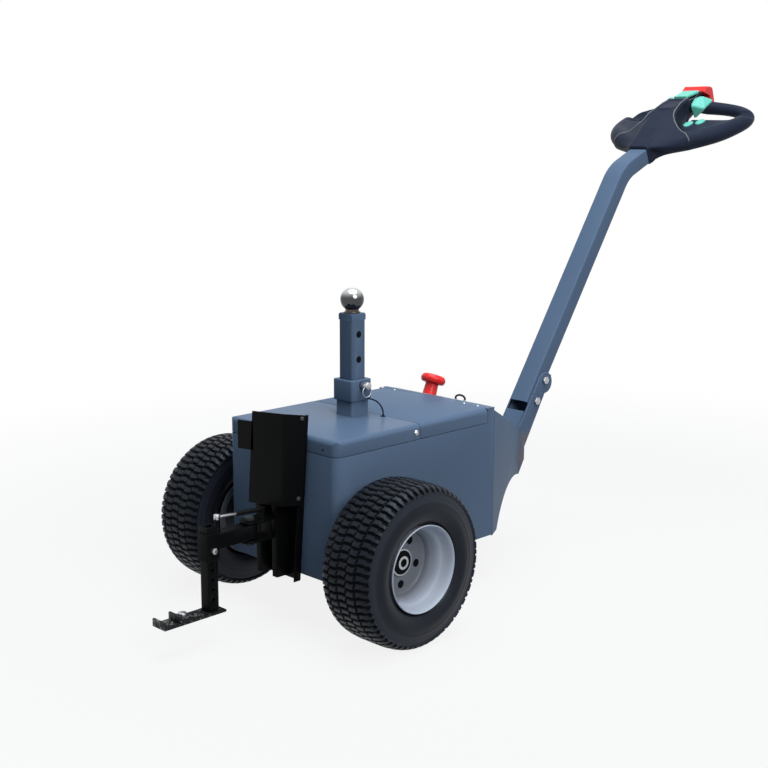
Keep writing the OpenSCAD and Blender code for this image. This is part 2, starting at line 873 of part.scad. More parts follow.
// Square tow post with its rounded cap and three cross holes
module tow_post() {
    color(paint) placed() difference() {
        union() {
            translate([post_x, 0, post_foot_z]) linear_extrude(post_top_z - post_foot_z)
                tube_section(post_w, post_w, post_wall, post_r);
            translate([post_x, 0, post_top_z]) post_cap();
        }
        for (i = [0 : 2]) translate([post_x, 0, pin_z + i * post_hole_pitch]) rotate([90, 0, 0])
            cylinder(d = post_hole_d, h = 2 * post_w, center = true);
    }
}

// Cap that rounds the post's square end over to the ball's neck
module post_cap() {
    w = post_w + cap_edge;
    intersection() {
        translate([0, 0, cap_h / 2]) cube([w, w, cap_h], center = true);
        rotate_extrude() {
            square([cap_neck_d / 2, cap_h]);
            difference() {
                square([w, cap_h]);
                translate([cap_neck_d / 2, cap_h]) square([w, cap_edge / 2]);
            }
        }
        for (a = [0, 90]) rotate(a) rotate([90, 0, 0]) translate([0, 0, -w]) linear_extrude(2 * w) {
            translate([-w / 2, 0]) square([w, cap_h / 2]);
            square([cap_neck_d, 2 * cap_h], center = true);
            for (s = [-1, 1]) translate([s * (w / 2 - cap_h / 2), cap_h / 2]) circle(cap_h / 2);
            translate([cap_h / 2 - w / 2, 0]) square([w - cap_h, cap_h]);
        }
    }
}

// Chromed tow ball on its neck
module tow_ball() {
    flat_z = sqrt(pow(ball_d / 2, 2) - pow(ball_flat_d / 2, 2));
    base_z = post_top_z + cap_h;
    color(zinc) placed() translate([post_x, 0, 0]) {
        difference() {
            translate([0, 0, ball_z]) sphere(d = ball_d);
            translate([0, 0, ball_z + flat_z + ball_d / 2]) cube(ball_d, center = true);
        }
        translate([0, 0, base_z]) cylinder(d = neck_d, h = ball_z - base_z);
    }
}

// Cross pin through the collar and the post, with its head and pull ring
module hitch_pin() {
    face = collar_out / 2 + fit;
    color(zinc) placed() translate([post_x, 0, pin_z]) {
        rotate([90, 0, 0]) {
            translate([0, 0, -face]) cylinder(d = pin_d, h = 2 * face + pin_head_l);
            translate([0, 0, face]) cylinder(d = pin_head_d, h = pin_head_l);
        }
        translate([0, ring_back - face - pin_head_l, -ring_d / 2]) rotate([90, 0, 0]) rotate_extrude()
            translate([ring_d / 2, 0]) circle(d = ring_wire);
    }
}

// Stiff retaining wire from the pull ring down to its eye on the front cover
module retaining_wire() {
    ring_y = ring_back - collar_out / 2 - fit - pin_head_l;
    start_z = pin_z - ring_d - ring_wire / 2 - wire_d / 2;
    drop = start_z - wire_r - top_z;
    color(plastic) placed() translate([post_x, ring_y, start_z]) rotate([0, 0, wire_turn]) {
        translate([0, 0, -wire_r]) rotate([90, 0, 0]) rotate_extrude(angle = 90)
            translate([wire_r, 0]) circle(d = wire_d);
        translate([wire_r, 0, -wire_r - drop]) cylinder(d = ferrule_d, h = drop);
        translate([wire_r, 0, -wire_r - drop]) cylinder(d = wire_eye_d, h = wire_eye_t);
    }
}

// Plate that carries the mast on the body's front wall
module mast_plate() {
    color(paint_dark) placed() translate([mast_x, -mast_w / 2, mast_gap])
        cube([mast_plate_t, mast_w, mast_h]);
}

// Two guide rails
module mast_rails() {
    color(paint_dark) placed() for (s = [-1, 1])
        translate([rail_x, s * (rail_gap + rail_w) / 2 - rail_w / 2, rail_z])
        cube([rail_d, rail_w, rail_top_z - rail_z]);
}

// Folded cover over the upper mast with a side tab
module mast_cover() {
    l = mast_x - mast_cover_x;
    inside = mast_cover_w - 2 * mast_sheet;
    color(paint_dark) placed() {
        difference() {
            translate([mast_cover_x, 0, 0]) linear_extrude(mast_cover_top_z)
                translate([0, -mast_cover_w / 2]) square([l + mast_plate_t, mast_cover_w]);
            translate([mast_cover_x + mast_sheet, -inside / 2, -cut])
                cube([l, inside, mast_cover_top_z - mast_sheet + cut]);
            translate([mast_x, -mast_w, 0]) cube([2 * mast_plate_t, 2 * mast_w, mast_gap + mast_h]);
            translate([mast_cover_x - cut, -mast_w, -cut]) cube([2 * l, 2 * mast_w, mast_cover_z + cut]);
        }
        translate([mast_x - mast_sheet, mast_cover_w / 2 - mast_sheet, mast_cover_top_z - mast_tab_drop - mast_tab_h])
            cube([mast_sheet, mast_tab_w, mast_tab_h]);
    }
}

// Axle shaft with its end nuts
module axle_shaft() {
    end_y = stud_y + disc_offset + hub_out - axle_end_in;
    color(zinc) placed() translate([0, 0, axle_z]) rotate([90, 0, 0]) {
        cylinder(d = axle_d, h = 2 * end_y, center = true);
        for (s = [-1, 1]) translate([0, 0, s * (end_y - axle_nut_t / 2)])
            cylinder(d = axle_nut_d, h = axle_nut_t, center = true, $fn = 6);
    }
}

// Flanged bearing housings on the body's side walls
module bearing_housings() {
    outer = stud_y + disc_offset - hub_in - 4 * fit;
    color(paint_dark) placed() for (s = [-1, 1]) translate([0, 0, axle_z]) rotate([-90 * s, 0, 0]) difference() {
        union() {
            translate([0, 0, half_w]) cylinder(d = flange_d, h = flange_t);
            translate([0, 0, half_w - 2 * flange_t]) cylinder(d = housing_d, h = outer - half_w + 2 * flange_t);
        }
        cylinder(d = axle_d + 2 * run_fit, h = track_w);
    }
}

// Gearbox round the axle with the drive motor behind it
module drive_unit() {
    color(paint_dark) placed() difference() {
        union() {
            translate([0, 0, axle_z]) rotate([90, 0, 0]) cylinder(d = gearbox_d - 2 * sheet, h = gearbox_w, center = true);
            translate([-gearbox_d / 4, -gearbox_w / 2, ground_gap + sheet]) cube([gearbox_d / 2, gearbox_w, gearbox_d / 2]);
            translate([0, 0, axle_z + gearbox_d / 3]) cylinder(d = motor_d, h = motor_l);
        }
        translate([0, 0, axle_z]) rotate([90, 0, 0])
            cylinder(d = axle_d + 2 * run_fit, h = 2 * gearbox_w, center = true);
        translate([-gearbox_d, -gearbox_d, 0]) cube([2 * gearbox_d, 2 * gearbox_d, ground_gap + sheet]);
    }
}

// Two batteries with their terminals
module batteries() {
    color(plastic) placed() for (s = [-1, 1])
        translate([battery_x, s * (battery_w + battery_gap) / 2, ground_gap + sheet]) {
            translate([0, -battery_w / 2, 0]) cube([battery_l, battery_w, battery_h]);
            for (t = [-1, 1]) translate([battery_l / 6, t * battery_w / 4, battery_h])
                cylinder(d = terminal_d, h = terminal_h);
        }
}

// Castor's fixed plate and its stem
module castor_plate() {
    color(zinc) placed() translate([castor_x, 0, ground_gap - castor_plate_t]) {
        translate([-castor_plate_l / 2, -castor_plate_w / 2, 0])
            cube([castor_plate_l, castor_plate_w, castor_plate_t]);
        translate([0, 0, -castor_head_h]) cylinder(d = castor_head_d, h = castor_head_h);
        translate([0, 0, -castor_head_h - fit - 2 * castor_fork_t])
            cylinder(d = castor_axle_d, h = castor_head_h + castor_fork_t);
    }
}

// Swivel fork with its wheel axle
module castor_fork() {
    gap = castor_w + 4 * castor_fork_t;
    arm_in = gap / 2;
    arm_h = castor_crown_z - castor_d / 2;
    color(zinc) placed() difference() {
        union() {
            translate([castor_x, 0, castor_crown_z - castor_fork_t]) cylinder(d = castor_head_d, h = castor_fork_t);
            translate([castor_x, -arm_in - castor_fork_t, castor_crown_z - castor_fork_t])
                cube([castor_trail / 2, gap + 2 * castor_fork_t, castor_fork_t]);
            for (s = [-1, 1]) translate([0, s * (arm_in + castor_fork_t / 2), 0]) side_prism(castor_fork_t) {
                polygon([[castor_x - castor_trail / 3, castor_crown_z], [castor_x + castor_trail / 2, castor_crown_z],
                    [castor_axle_x + castor_axle_d, castor_d / 2], [castor_axle_x - castor_axle_d, castor_d / 2]]);
                translate([castor_axle_x, castor_d / 2]) circle(castor_axle_d);
            }
            translate([castor_x - castor_trail / 3, -arm_in, castor_crown_z - castor_fork_t])
                cube([castor_trail / 2, gap, castor_fork_t]);
            translate([castor_axle_x, 0, castor_d / 2]) rotate([90, 0, 0])
                cylinder(d = castor_axle_d, h = gap + castor_fork_t, center = true);
        }
        translate([castor_x, 0, castor_crown_z - castor_fork_t - cut])
            cylinder(d = castor_axle_d + 2 * fit, h = castor_fork_t + 2 * cut);
    }
}

// Castor wheel with a crowned tread and a hub
module castor_wheel() {
    color(rubber) placed() translate([castor_axle_x, 0, castor_d / 2]) rotate([90, 0, 0]) rotate_extrude()
        difference() {
            union() {
                translate([castor_axle_d / 2 + run_fit, -castor_w / 2 - castor_fork_t])
                    square([castor_axle_d, castor_w + 2 * castor_fork_t]);
                translate([castor_axle_d, -castor_w / 6]) square([castor_d / 2 - 2 * castor_axle_d, castor_w / 3]);
                translate([castor_d / 2 - castor_tread, -castor_w / 2 + castor_tread / 3])
                    square([castor_tread, castor_w - 2 * castor_tread / 3]);
                translate([castor_d / 2 - castor_tread, -castor_w / 2])
                    square([castor_tread - castor_tread / 3, castor_w]);
                for (s = [-1, 1]) translate([castor_d / 2 - castor_tread / 3, s * (castor_w / 2 - castor_tread / 3)])
                    circle(castor_tread / 3);
            }
        }
}

// Half of a rounded tyre section as points: axial half width, radial half height
function tyre_arc(w, h) = [for (i = [0 : tyre_steps - 1]) let (a = 360 * i / tyre_steps)
    [h * sign(sin(a)) * pow(abs(sin(a)), tyre_section_share), w * sign(cos(a)) * pow(abs(cos(a)), tyre_section_share)]];

// Wheel's own frame: local Z points outwards along the axle
module at_wheel(side) {
    translate([0, side * stud_y, axle_z]) rotate([-90 * side, 0, 0]) children();
}

// Tyre: open section with two beads that sit on the rim
module tyre(side) {
    centre_r = tyre_d / 2 - tyre_section_h / 2;
    inner_h = tyre_section_h / 2 - tyre_wall / 2;
    bead_out = rim_w / 2 - lip_t - fit;
    color(rubber) placed() at_wheel(side) {
        rotate_extrude() difference() {
            translate([centre_r, 0]) polygon(tyre_arc(tyre_w / 2, tyre_section_h / 2));
            translate([centre_r - tyre_wall, 0]) polygon(tyre_arc(tyre_w / 2 - tyre_wall, inner_h));
        }
        for (z = [-bead_out, bead_out - bead_w]) rotate_extrude()
            translate([bead_d / 2 + fit, z]) square([bead_h, bead_w]);
    }
}

module tyre_left() {
    tyre(1);
}

module tyre_right() {
    tyre(-1);
}

// Rim: lips, bead seats, drop centre, disc with stud holes and the hub
module rim(side) {
    w = rim_w / 2;
    r = bead_d / 2;
    d = drop_d / 2;
    color(rim_grey) placed() at_wheel(side) difference() {
        union() {
            rotate_extrude() polygon([[rim_d / 2, w], [rim_d / 2, w - lip_t], [r, w - lip_t],
                [r, drop_w / 2 + drop_ramp], [d, drop_w / 2], [d, -drop_w / 2], [r, -drop_w / 2 - drop_ramp],
                [r, lip_t - w], [rim_d / 2, lip_t - w], [rim_d / 2, -w], [r - rim_t, -w],
                [r - rim_t, -drop_w / 2 - drop_ramp], [d - rim_t, -drop_w / 2], [d - rim_t, drop_w / 2],
                [r - rim_t, drop_w / 2 + drop_ramp], [r - rim_t, w]]);
            translate([0, 0, disc_offset]) cylinder(d = drop_d - rim_t, h = disc_t);
            translate([0, 0, disc_offset - hub_in]) cylinder(d = hub_d, h = hub_in + hub_out);
        }
        translate([0, 0, disc_offset - hub_in - cut])
            cylinder(d = axle_d + 2 * run_fit, h = hub_in + hub_out + 2 * cut);
        translate([0, 0, disc_offset + hub_out - axle_end_in - axle_nut_t - fit])
            cylinder(d = hub_recess_d, h = hub_out + axle_nut_t + cut);
        for (i = [0 : stud_count - 1]) rotate(i * 360 / stud_count + 180 / stud_count)
            translate([stud_pcd / 2, 0, disc_offset - cut]) cylinder(d = stud_hole_d, h = disc_t + 2 * cut);
    }
}

module rim_left() {
    rim(1);
}

module rim_right() {
    rim(-1);
}

// Lift carriage: slider between the rails and the clevis round the arm's pivot
module lift_carriage() {
    color(paint_dark) placed() difference() {
        union() {
            translate([rail_x, fit - rail_gap / 2, carriage_z])
                cube([rail_d - fit, rail_gap - 2 * fit, carriage_top_z - carriage_z]);
            for (z = [carriage_z, carriage_top_z - clevis_t]) translate([0, 0, z]) linear_extrude(clevis_t) {
                translate([pivot_x, 0]) circle(clevis_r);
                translate([pivot_x, -clevis_r]) square([rail_x - fit - pivot_x, 2 * clevis_r]);
                translate([rail_x - cut, fit - rail_gap / 2]) square([2 * cut, rail_gap - 2 * fit]);
            }
            translate([anchor_x, anchor_dy, carriage_top_z - clevis_t]) cylinder(d = stud_base_d, h = clevis_t);
            translate([anchor_x, anchor_dy, carriage_top_z])
                cylinder(d = stud_d, h = damper_z - damper_d / 2 - fit - carriage_top_z);
        }
        translate([pivot_x, 0, carriage_z - cut])
            cylinder(d = pivot_d + 2 * fit, h = carriage_top_z - carriage_z + 2 * cut);
    }
}

// Pivot bolt with its washers, head and nut
module pivot_bolt() {
    color(zinc) placed() translate([pivot_x, 0, 0]) {
        translate([0, 0, carriage_z - bolt_head_h])
            cylinder(d = pivot_d, h = carriage_top_z - carriage_z + 2 * bolt_head_h);
        translate([0, 0, carriage_z - bolt_head_h]) cylinder(d = bolt_head_d, h = bolt_head_h, $fn = 6);
        translate([0, 0, carriage_top_z]) cylinder(d = bolt_head_d, h = bolt_head_h, $fn = 6);
        translate([0, 0, clevis_gap_z]) cylinder(d = bolt_head_d, h = washer_t - fit);
        translate([0, 0, arm_top_z + fit]) cylinder(d = bolt_head_d, h = washer_t - fit);
    }
}

// Hitch arm: pivot boss, square tube, leg sleeve and the damper's stud
module hitch_arm() {
    color(paint_dark) placed() difference() {
        union() {
            translate([pivot_x, 0, arm_z]) cylinder(d = boss_d, h = arm_w);
            translate([leg_x, -arm_w / 2, arm_z]) cube([arm_l, arm_w, arm_w]);
            translate([leg_x, 0, sleeve_top_z - sleeve_h]) linear_extrude(sleeve_h) square(arm_w, center = true);
            translate([arm_stud_x, 0, arm_top_z]) {
                cylinder(d = stud_base_d, h = stud_h / 3);
                cylinder(d = stud_d, h = stud_h);
            }
        }
        translate([leg_x + arm_w / 2, -arm_w / 2 + arm_wall, arm_z + arm_wall])
            cube([arm_l - arm_w / 2 - boss_d / 2, arm_w - 2 * arm_wall, arm_w - 2 * arm_wall]);
        translate([leg_x, 0, arm_z]) cube([leg_w + 2 * fit, leg_w + 2 * fit, 4 * sleeve_h], center = true);
        translate([pivot_x, 0, arm_z - cut]) cylinder(d = pivot_d + 2 * run_fit, h = arm_w + 2 * cut);
        translate([leg_x, 0, arm_z]) rotate([90, 0, 0]) cylinder(d = leg_hole_d, h = 2 * arm_w, center = true);
    }
}

// Height-adjustable leg with its row of holes
module leg_tube() {
    color(paint_dark) placed() difference() {
        translate([leg_x, 0, foot_z + foot_t]) linear_extrude(sleeve_top_z + leg_top - foot_z - foot_t)
            difference() {
                square(leg_w, center = true);
                square(leg_w - 2 * sleeve_wall, center = true);
            }
        for (i = [0 : leg_hole_count]) translate([leg_x, 0, arm_z - i * leg_hole_pitch]) rotate([90, 0, 0])
            cylinder(d = leg_hole_d, h = 2 * arm_w, center = true);
    }
}

// Foot bar with its upturned lip and the jaw's slot
module foot_bar() {
    color(paint_dark) placed() difference() {
        union() {
            translate([foot_front_x, -foot_w / 2, foot_z]) cube([foot_l, foot_w, foot_t]);
            translate([foot_front_x, -foot_w / 2, foot_z]) cube([foot_t, foot_w, foot_lip]);
        }
        translate([foot_front_x + foot_t + jaw_gap + jaw_t, 0, foot_z]) linear_extrude(4 * foot_t, center = true) {
            translate([slot_w / 2, -slot_w / 2]) square([slot_l - slot_w, slot_w]);
            for (x = [slot_w / 2, slot_l - slot_w / 2]) translate([x, 0]) circle(d = slot_w);
        }
    }
}

// Adjustable jaw: folded plate facing the lip
module jaw_plate() {
    x0 = foot_front_x + foot_t + jaw_gap;
    color(paint_dark) placed() difference() {
        translate([x0, -foot_w / 2, foot_z + foot_t]) {
            cube([jaw_t, foot_w, jaw_h]);
            cube([jaw_l, foot_w, jaw_t]);
        }
        translate([x0 + jaw_l / 2, 0, foot_z]) cylinder(d = stud_d + 2 * fit, h = jaw_h);
    }
}

// Jaw bolt with its domed nut and the leg's cross bolt
module hitch_fasteners() {
    jaw_x = foot_front_x + foot_t + jaw_gap + jaw_l / 2;
    color(zinc) placed() {
        translate([jaw_x, 0, foot_z]) cylinder(d = stud_d, h = foot_t + jaw_t);
        translate([jaw_x, 0, foot_z + foot_t + jaw_t]) cylinder(d = jaw_nut_d, h = jaw_nut_h);
        translate([leg_x, 0, arm_z]) rotate([90, 0, 0]) {
            cylinder(d = leg_hole_d - fit, h = arm_w + 2 * fit, center = true);
            for (s = [-1, 1]) translate([0, 0, s * (arm_w / 2 + leg_hole_d / 2)])
                cylinder(d = 2 * leg_hole_d, h = leg_hole_d, center = true, $fn = 6);
        }
    }
}

// Puts a piece on the damper's axis, local X running from the anchor to the arm's stud
module on_damper() {
    translate([anchor_x, anchor_dy, damper_z]) rotate([0, 0, damper_yaw]) children();
}

// Damper cylinder on the carriage's stud
module damper_cylinder() {
    color(plastic) placed() on_damper() difference() {
        union() {
            cylinder(d = damper_eye_d, h = damper_d, center = true);
            rotate([0, 90, 0]) cylinder(d = damper_d, h = damper_cyl_l);
        }
        rotate([0, 90, 0]) translate([0, 0, damper_eye_d / 2])
            cylinder(d = damper_rod_d + 2 * run_fit, h = damper_cyl_l);
    }
}

// Damper rod with its eye over the arm's stud
module damper_rod() {
    color(zinc) placed() on_damper() {
        translate([damper_l, 0, 0]) cylinder(d = damper_eye_d, h = damper_d, center = true);
        rotate([0, 90, 0]) translate([0, 0, damper_cyl_l / 2]) cylinder(d = damper_rod_d, h = damper_l - damper_cyl_l / 2);
    }
}

body_tub();
front_cover();
rear_lid();
hinge_rod();
console();
emergency_disconnect();
key_switch();
tiller_channel();
tiller_bolts();
tiller_tube();
tiller_head();
drive_paddles();
thumb_buttons();
reverse_button();
post_socket();
post_collar();
tow_post();
tow_ball();
hitch_pin();
retaining_wire();
mast_plate();
mast_rails();
mast_cover();
axle_shaft();
bearing_housings();
drive_unit();
batteries();
castor_plate();
castor_fork();
castor_wheel();
tyre_left();
tyre_right();
rim_left();
rim_right();
lift_carriage();
pivot_bolt();
hitch_arm();
leg_tube();
foot_bar();
jaw_plate();
hitch_fasteners();
damper_cylinder();
damper_rod();
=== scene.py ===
"""Looks of a walk-behind electric baggage tug, built as an add-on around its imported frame.

The frame holds every piece at its real size. This script adds what the eye needs: tyres with
their tread, the moulded tiller head with its controls, rounded sheet metal edges, small
fasteners, procedural finishes and a plain pale stage. Lengths are in metres, +X points back to
the tiller, +Y to the left side, +Z up.
"""

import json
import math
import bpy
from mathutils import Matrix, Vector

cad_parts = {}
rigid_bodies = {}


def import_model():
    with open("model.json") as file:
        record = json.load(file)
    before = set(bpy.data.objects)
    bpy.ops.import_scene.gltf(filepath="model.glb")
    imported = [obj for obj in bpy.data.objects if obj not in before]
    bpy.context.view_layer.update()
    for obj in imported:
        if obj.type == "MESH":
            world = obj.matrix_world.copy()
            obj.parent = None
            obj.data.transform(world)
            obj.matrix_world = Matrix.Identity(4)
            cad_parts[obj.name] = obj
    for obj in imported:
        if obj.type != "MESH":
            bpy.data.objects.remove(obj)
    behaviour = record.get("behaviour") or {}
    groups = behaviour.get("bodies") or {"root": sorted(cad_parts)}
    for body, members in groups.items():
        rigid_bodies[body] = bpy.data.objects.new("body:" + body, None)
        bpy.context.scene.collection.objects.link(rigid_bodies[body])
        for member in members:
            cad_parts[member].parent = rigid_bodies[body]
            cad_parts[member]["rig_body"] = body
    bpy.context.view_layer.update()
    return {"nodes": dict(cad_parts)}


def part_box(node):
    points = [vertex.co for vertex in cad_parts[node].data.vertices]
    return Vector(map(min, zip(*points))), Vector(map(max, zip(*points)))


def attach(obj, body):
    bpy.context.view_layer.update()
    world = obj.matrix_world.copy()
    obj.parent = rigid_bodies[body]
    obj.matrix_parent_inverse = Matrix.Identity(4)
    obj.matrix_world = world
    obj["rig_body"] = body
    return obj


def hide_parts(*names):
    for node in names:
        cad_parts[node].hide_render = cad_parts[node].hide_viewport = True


bl_info = {
    "name": "Baggage Tug Looks",
    "version": (1, 0, 0),
    "blender": (4, 5, 0),
    "location": "View3D > Sidebar > Tug",
    "description": "Dresses the frame of a walk-behind baggage tug and sets its stage",
    "category": "Object",
}

import bmesh
import bpy
import numpy as np
from bpy.props import FloatProperty, FloatVectorProperty, IntProperty, PointerProperty
from mathutils import Matrix

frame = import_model()
NODES = frame["nodes"]
AXES = np.eye(3)
FLAT_ANGLE = 0.5
SHARP_ANGLE = 28


def box(node):
    """Lowest and highest corner of a frame node as arrays."""
    low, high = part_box(node)
    return np.array(low), np.array(high)


def middle(node):
    """Centre of a frame node's box."""
    low, high = box(node)
    return (low + high) / 2


def unit(vectors):
    """Vectors along the last axis, brought to a length of one."""
    vectors = np.asarray(vectors, float)
    return vectors / np.linalg.norm(vectors, axis=-1, keepdims=True)


def linear(red, green, blue):
    """Scene-linear colour of an 8-bit display colour."""
    share = np.array((red, green, blue)) / 255
    return tuple(np.where(share <= 0.04045, share / 12.92, ((share + 0.055) / 1.055) ** 2.4).tolist())


# Properties


def colour(name, description, default):
    """Colour property with its default given as display values."""
    return FloatVectorProperty(
        name=name, description=description, subtype="COLOR", size=3, min=0, max=1, default=linear(*default)
    )


def length(name, description, default):
    """Length property in metres."""
    return FloatProperty(name=name, description=description, unit="LENGTH", min=0, default=default)


class TugColours(bpy.types.PropertyGroup):
    """Colours of the tug's finishes."""

    paint: colour("Paint", "Blue-grey paint of the body and tiller", (78, 95, 118))
    black: colour("Black paint", "Paint of the mast and hitch", (10, 11, 12))
    rubber: colour("Rubber", "Tyres", (18, 20, 26))
    rim: colour("Rim", "Paint of the wheel rims", (146, 153, 166))
    plastic: colour("Black plastic", "Moulded tiller head", (33, 38, 52))
    red: colour("Red plastic", "Emergency disconnect and reverse button", (214, 40, 38))
    green: colour("Green plastic", "Drive paddles and thumb buttons", (92, 176, 160))
    zinc: colour("Zinc", "Plated fasteners", (182, 184, 188))
    chrome: colour("Chrome", "Tow ball", (225, 227, 230))
    iron: colour("Cast iron", "Gearbox and bearings", (52, 54, 57))
    stain: colour("Stain", "Rub mark on the console's tip", (116, 98, 78))


class TugSizes(bpy.types.PropertyGroup):
    """Sizes that only the looks need."""

    tread_depth: length("Tread depth", "Depth of the tyre's grooves", 0.007)
    tread_rows: IntProperty(name="Tread rows", description="Block rows across the crown", min=3, default=5)
    tread_pitches: IntProperty(name="Tread pitches", description="Blocks round a tyre", min=20, default=64)
    groove: length("Groove", "Width of the grooves between blocks", 0.0050)
    tyre_width: length("Tyre width", "Width over the shoulder ribs", 0.134)
    wall_step: length("Wall step", "Drop from the shoulder ribs to the sidewall", 0.0045)
    bead: length("Bead radius", "Inner radius of the tyre", 0.0803)
    tube_corner: length("Tube corner", "Corner radius of the tiller tube", 0.0045)
    tube_wall: length("Tube wall", "Wall of the tiller tube", 0.003)
    bend_radius: length("Bend radius", "Outer radius of the tiller's bend", 0.130)
    edge: length("Edge", "Rounding of sheet metal edges", 0.0012)
    block_edge: length("Block edge", "Rounding of thick steel edges", 0.0009)
    head_voxel: length("Head grid", "Grid step of the tiller head's skin", 0.0023)


def sizes():
    """Sizes of the scene's tug."""
    return bpy.context.scene.tug_sizes


def colours():
    """Colours of the scene's tug."""
    return bpy.context.scene.tug_colours


# Meshes from arrays


def grid_faces(rows, columns, wrap_rows=False, wrap_columns=False):
    """Quads between neighbouring points of a grid that is numbered row by row."""
    down = np.arange(rows if wrap_rows else rows - 1)
    across = np.arange(columns if wrap_columns else columns - 1)
    i, j = np.meshgrid(down, across, indexing="ij")
    after_i, after_j = (i + 1) % rows, (j + 1) % columns
    corners = (i * columns + j, after_i * columns + j, after_i * columns + after_j, i * columns + after_j)
    return np.stack(corners, -1).reshape(-1, 4)


def joined(patches):
    """Patches of points and quads as one array of points and one of quads."""
    points = np.concatenate([np.reshape(p, (-1, 3)) for p, _ in patches])
    starts = np.cumsum([0] + [np.size(p) // 3 for p, _ in patches[:-1]])
    faces = np.concatenate([f + start for (_, f), start in zip(patches, starts)])
    return points, faces


def closed_mesh(name, patches, attributes=None):
    """Mesh of the patches with doubled points merged and normals turned outwards."""
    points, faces = joined(patches)
    mesh = bpy.data.meshes.new(name)
    mesh.vertices.add(len(points))
    mesh.vertices.foreach_set("co", points.astype(np.float32).ravel())
    mesh.loops.add(faces.size)
    mesh.loops.foreach_set("vertex_index", faces.astype(np.int32).ravel())
    mesh.polygons.add(len(faces))
    mesh.polygons.foreach_set("loop_start", np.arange(0, faces.size, 4, dtype=np.int32))
    mesh.update(calc_edges=True)
    for key, values in (attributes or {}).items():
        layer = mesh.attributes.new(key, "FLOAT", "POINT")
        layer.data.foreach_set("value", np.ravel(values).astype(np.float32))
    work = bmesh.new()
    work.from_mesh(mesh)
    bmesh.ops.remove_doubles(work, verts=work.verts, dist=1e-6)
    bmesh.ops.dissolve_degenerate(work, edges=work.edges, dist=1e-7)
    bmesh.ops.recalc_face_normals(work, faces=work.faces)
    work.to_mesh(mesh)
    work.free()
    mesh.validate()
    return mesh


def settle(mesh, name, body, material, replaced=(), smooth_angle=40):
    """Object of a mesh in its place, riding on a body and standing for the replaced nodes."""
    piece = bpy.data.objects.new(name, mesh)
    bpy.context.scene.collection.objects.link(piece)
    mesh.polygons.foreach_set("use_smooth", np.ones(len(mesh.polygons), bool))
    mesh.set_sharp_from_angle(angle=math.radians(smooth_angle))
    mesh.materials.clear()
    mesh.materials.append(material)
    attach(piece, body)
    if replaced:
        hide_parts(*replaced)
    return piece


def build(name, patches, body, material, replaced=(), smooth_angle=40, attributes=None):
    """Piece from patches of points and quads."""
    mesh = closed_mesh(name, patches, attributes)
    return settle(mesh, name, body, material, replaced, smooth_angle)


def round_edges(piece, width, segments, limit):
    """Bevel modifier that rounds a piece's edges and keeps its flat faces flat."""
    rounding = piece.modifiers.new("edges", "BEVEL")
    rounding.width = width
    rounding.segments = segments
    rounding.limit_method = limit
    rounding.harden_normals = True
    return rounding


def dress(node, material, edge, segments=2, clamp=False):
    """Copy of a frame node with its triangles merged, flat faces joined and sharp edges rounded."""
    mesh = NODES[node].data.copy()
    work = bmesh.new()
    work.from_mesh(mesh)
    bmesh.ops.remove_doubles(work, verts=work.verts, dist=2e-6)
    bmesh.ops.dissolve_limit(work, angle_limit=math.radians(FLAT_ANGLE), verts=work.verts, edges=work.edges)
    work.to_mesh(mesh)
    work.free()
    piece = settle(mesh, node + "_finish", NODES[node]["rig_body"], material, (node,), 180)
    rounding = round_edges(piece, edge, segments, "ANGLE")
    rounding.angle_limit = math.radians(SHARP_ANGLE)
    rounding.use_clamp_overlap = clamp
    return piece


def vertex_places(piece):
    """Places of a piece's vertices before its modifiers."""
    places = np.empty(3 * len(piece.data.vertices), np.float32)
    piece.data.vertices.foreach_get("co", places)
    return places.reshape(-1, 3)


def reshape(piece, change):
    """Moves a piece's vertices by a whole-array function of their places."""
    piece.data.vertices.foreach_set("co", change(vertex_places(piece)).astype(np.float32).ravel())
    piece.data.update()


# Surfaces


def rounded(points, radii, steps=6):
    """Open polyline whose inner corners are arcs.

    Each arc starts and ends r * tan(turn / 2) from its corner."""
    points = np.asarray(points, float)
    made = [points[:1]]
    for before, corner, after, radius in zip(points[:-2], points[1:-1], points[2:], radii):
        come, leave = unit(corner - before), unit(after - corner)
        turn = math.acos(float(np.clip(come @ leave, -1, 1)))
        if radius == 0 or turn < 1e-4:
            made.append(corner[None])
            continue
        tangent = radius * math.tan(turn / 2)
        normal = unit(leave - come * (come @ leave))
        centre = corner - come * tangent + normal * radius
        angle = np.linspace(0, turn, steps + 1)[:, None]
        made.append(centre - normal * radius * np.cos(angle) + come * radius * np.sin(angle))
    made.append(points[-1:])
    return np.concatenate(made)


def ring_of(points, radii, steps=5):
    """Closed outline whose corners are arcs."""
    points = np.asarray(points, float)
    radii = np.broadcast_to(radii, len(points))
    around = np.concatenate([points[-1:], points, points[:1]])
    return rounded(around, radii, steps)[1:-1]


def rectangle(width, depth, radius, steps=5):
    """Rounded rectangle about the middle."""
    w, d = width / 2, depth / 2
    return ring_of([(-w, -d), (w, -d), (w, d), (-w, d)], radius, steps)


def square_to(axis):
    """Two unit vectors square to an axis and to each other."""
    axis = unit(axis)
    first = unit(np.cross(axis, AXES[int(np.argmin(np.abs(axis)))]))
    return axis, first, np.cross(axis, first)


def lathe(profile, origin, axis, turns):
    """Profile points (distance from the axis, place along it) turned round the axis in equal steps."""
    profile = np.asarray(profile, float)
    axis, first, second = square_to(axis)
    angle = np.arange(turns) * 2 * math.pi / turns
    ring = np.cos(angle)[:, None] * first + np.sin(angle)[:, None] * second
    points = np.asarray(origin) + profile[None, :, :1] * ring[:, None] + profile[None, :, 1:] * axis
    return points, grid_faces(turns, len(profile), wrap_rows=True)


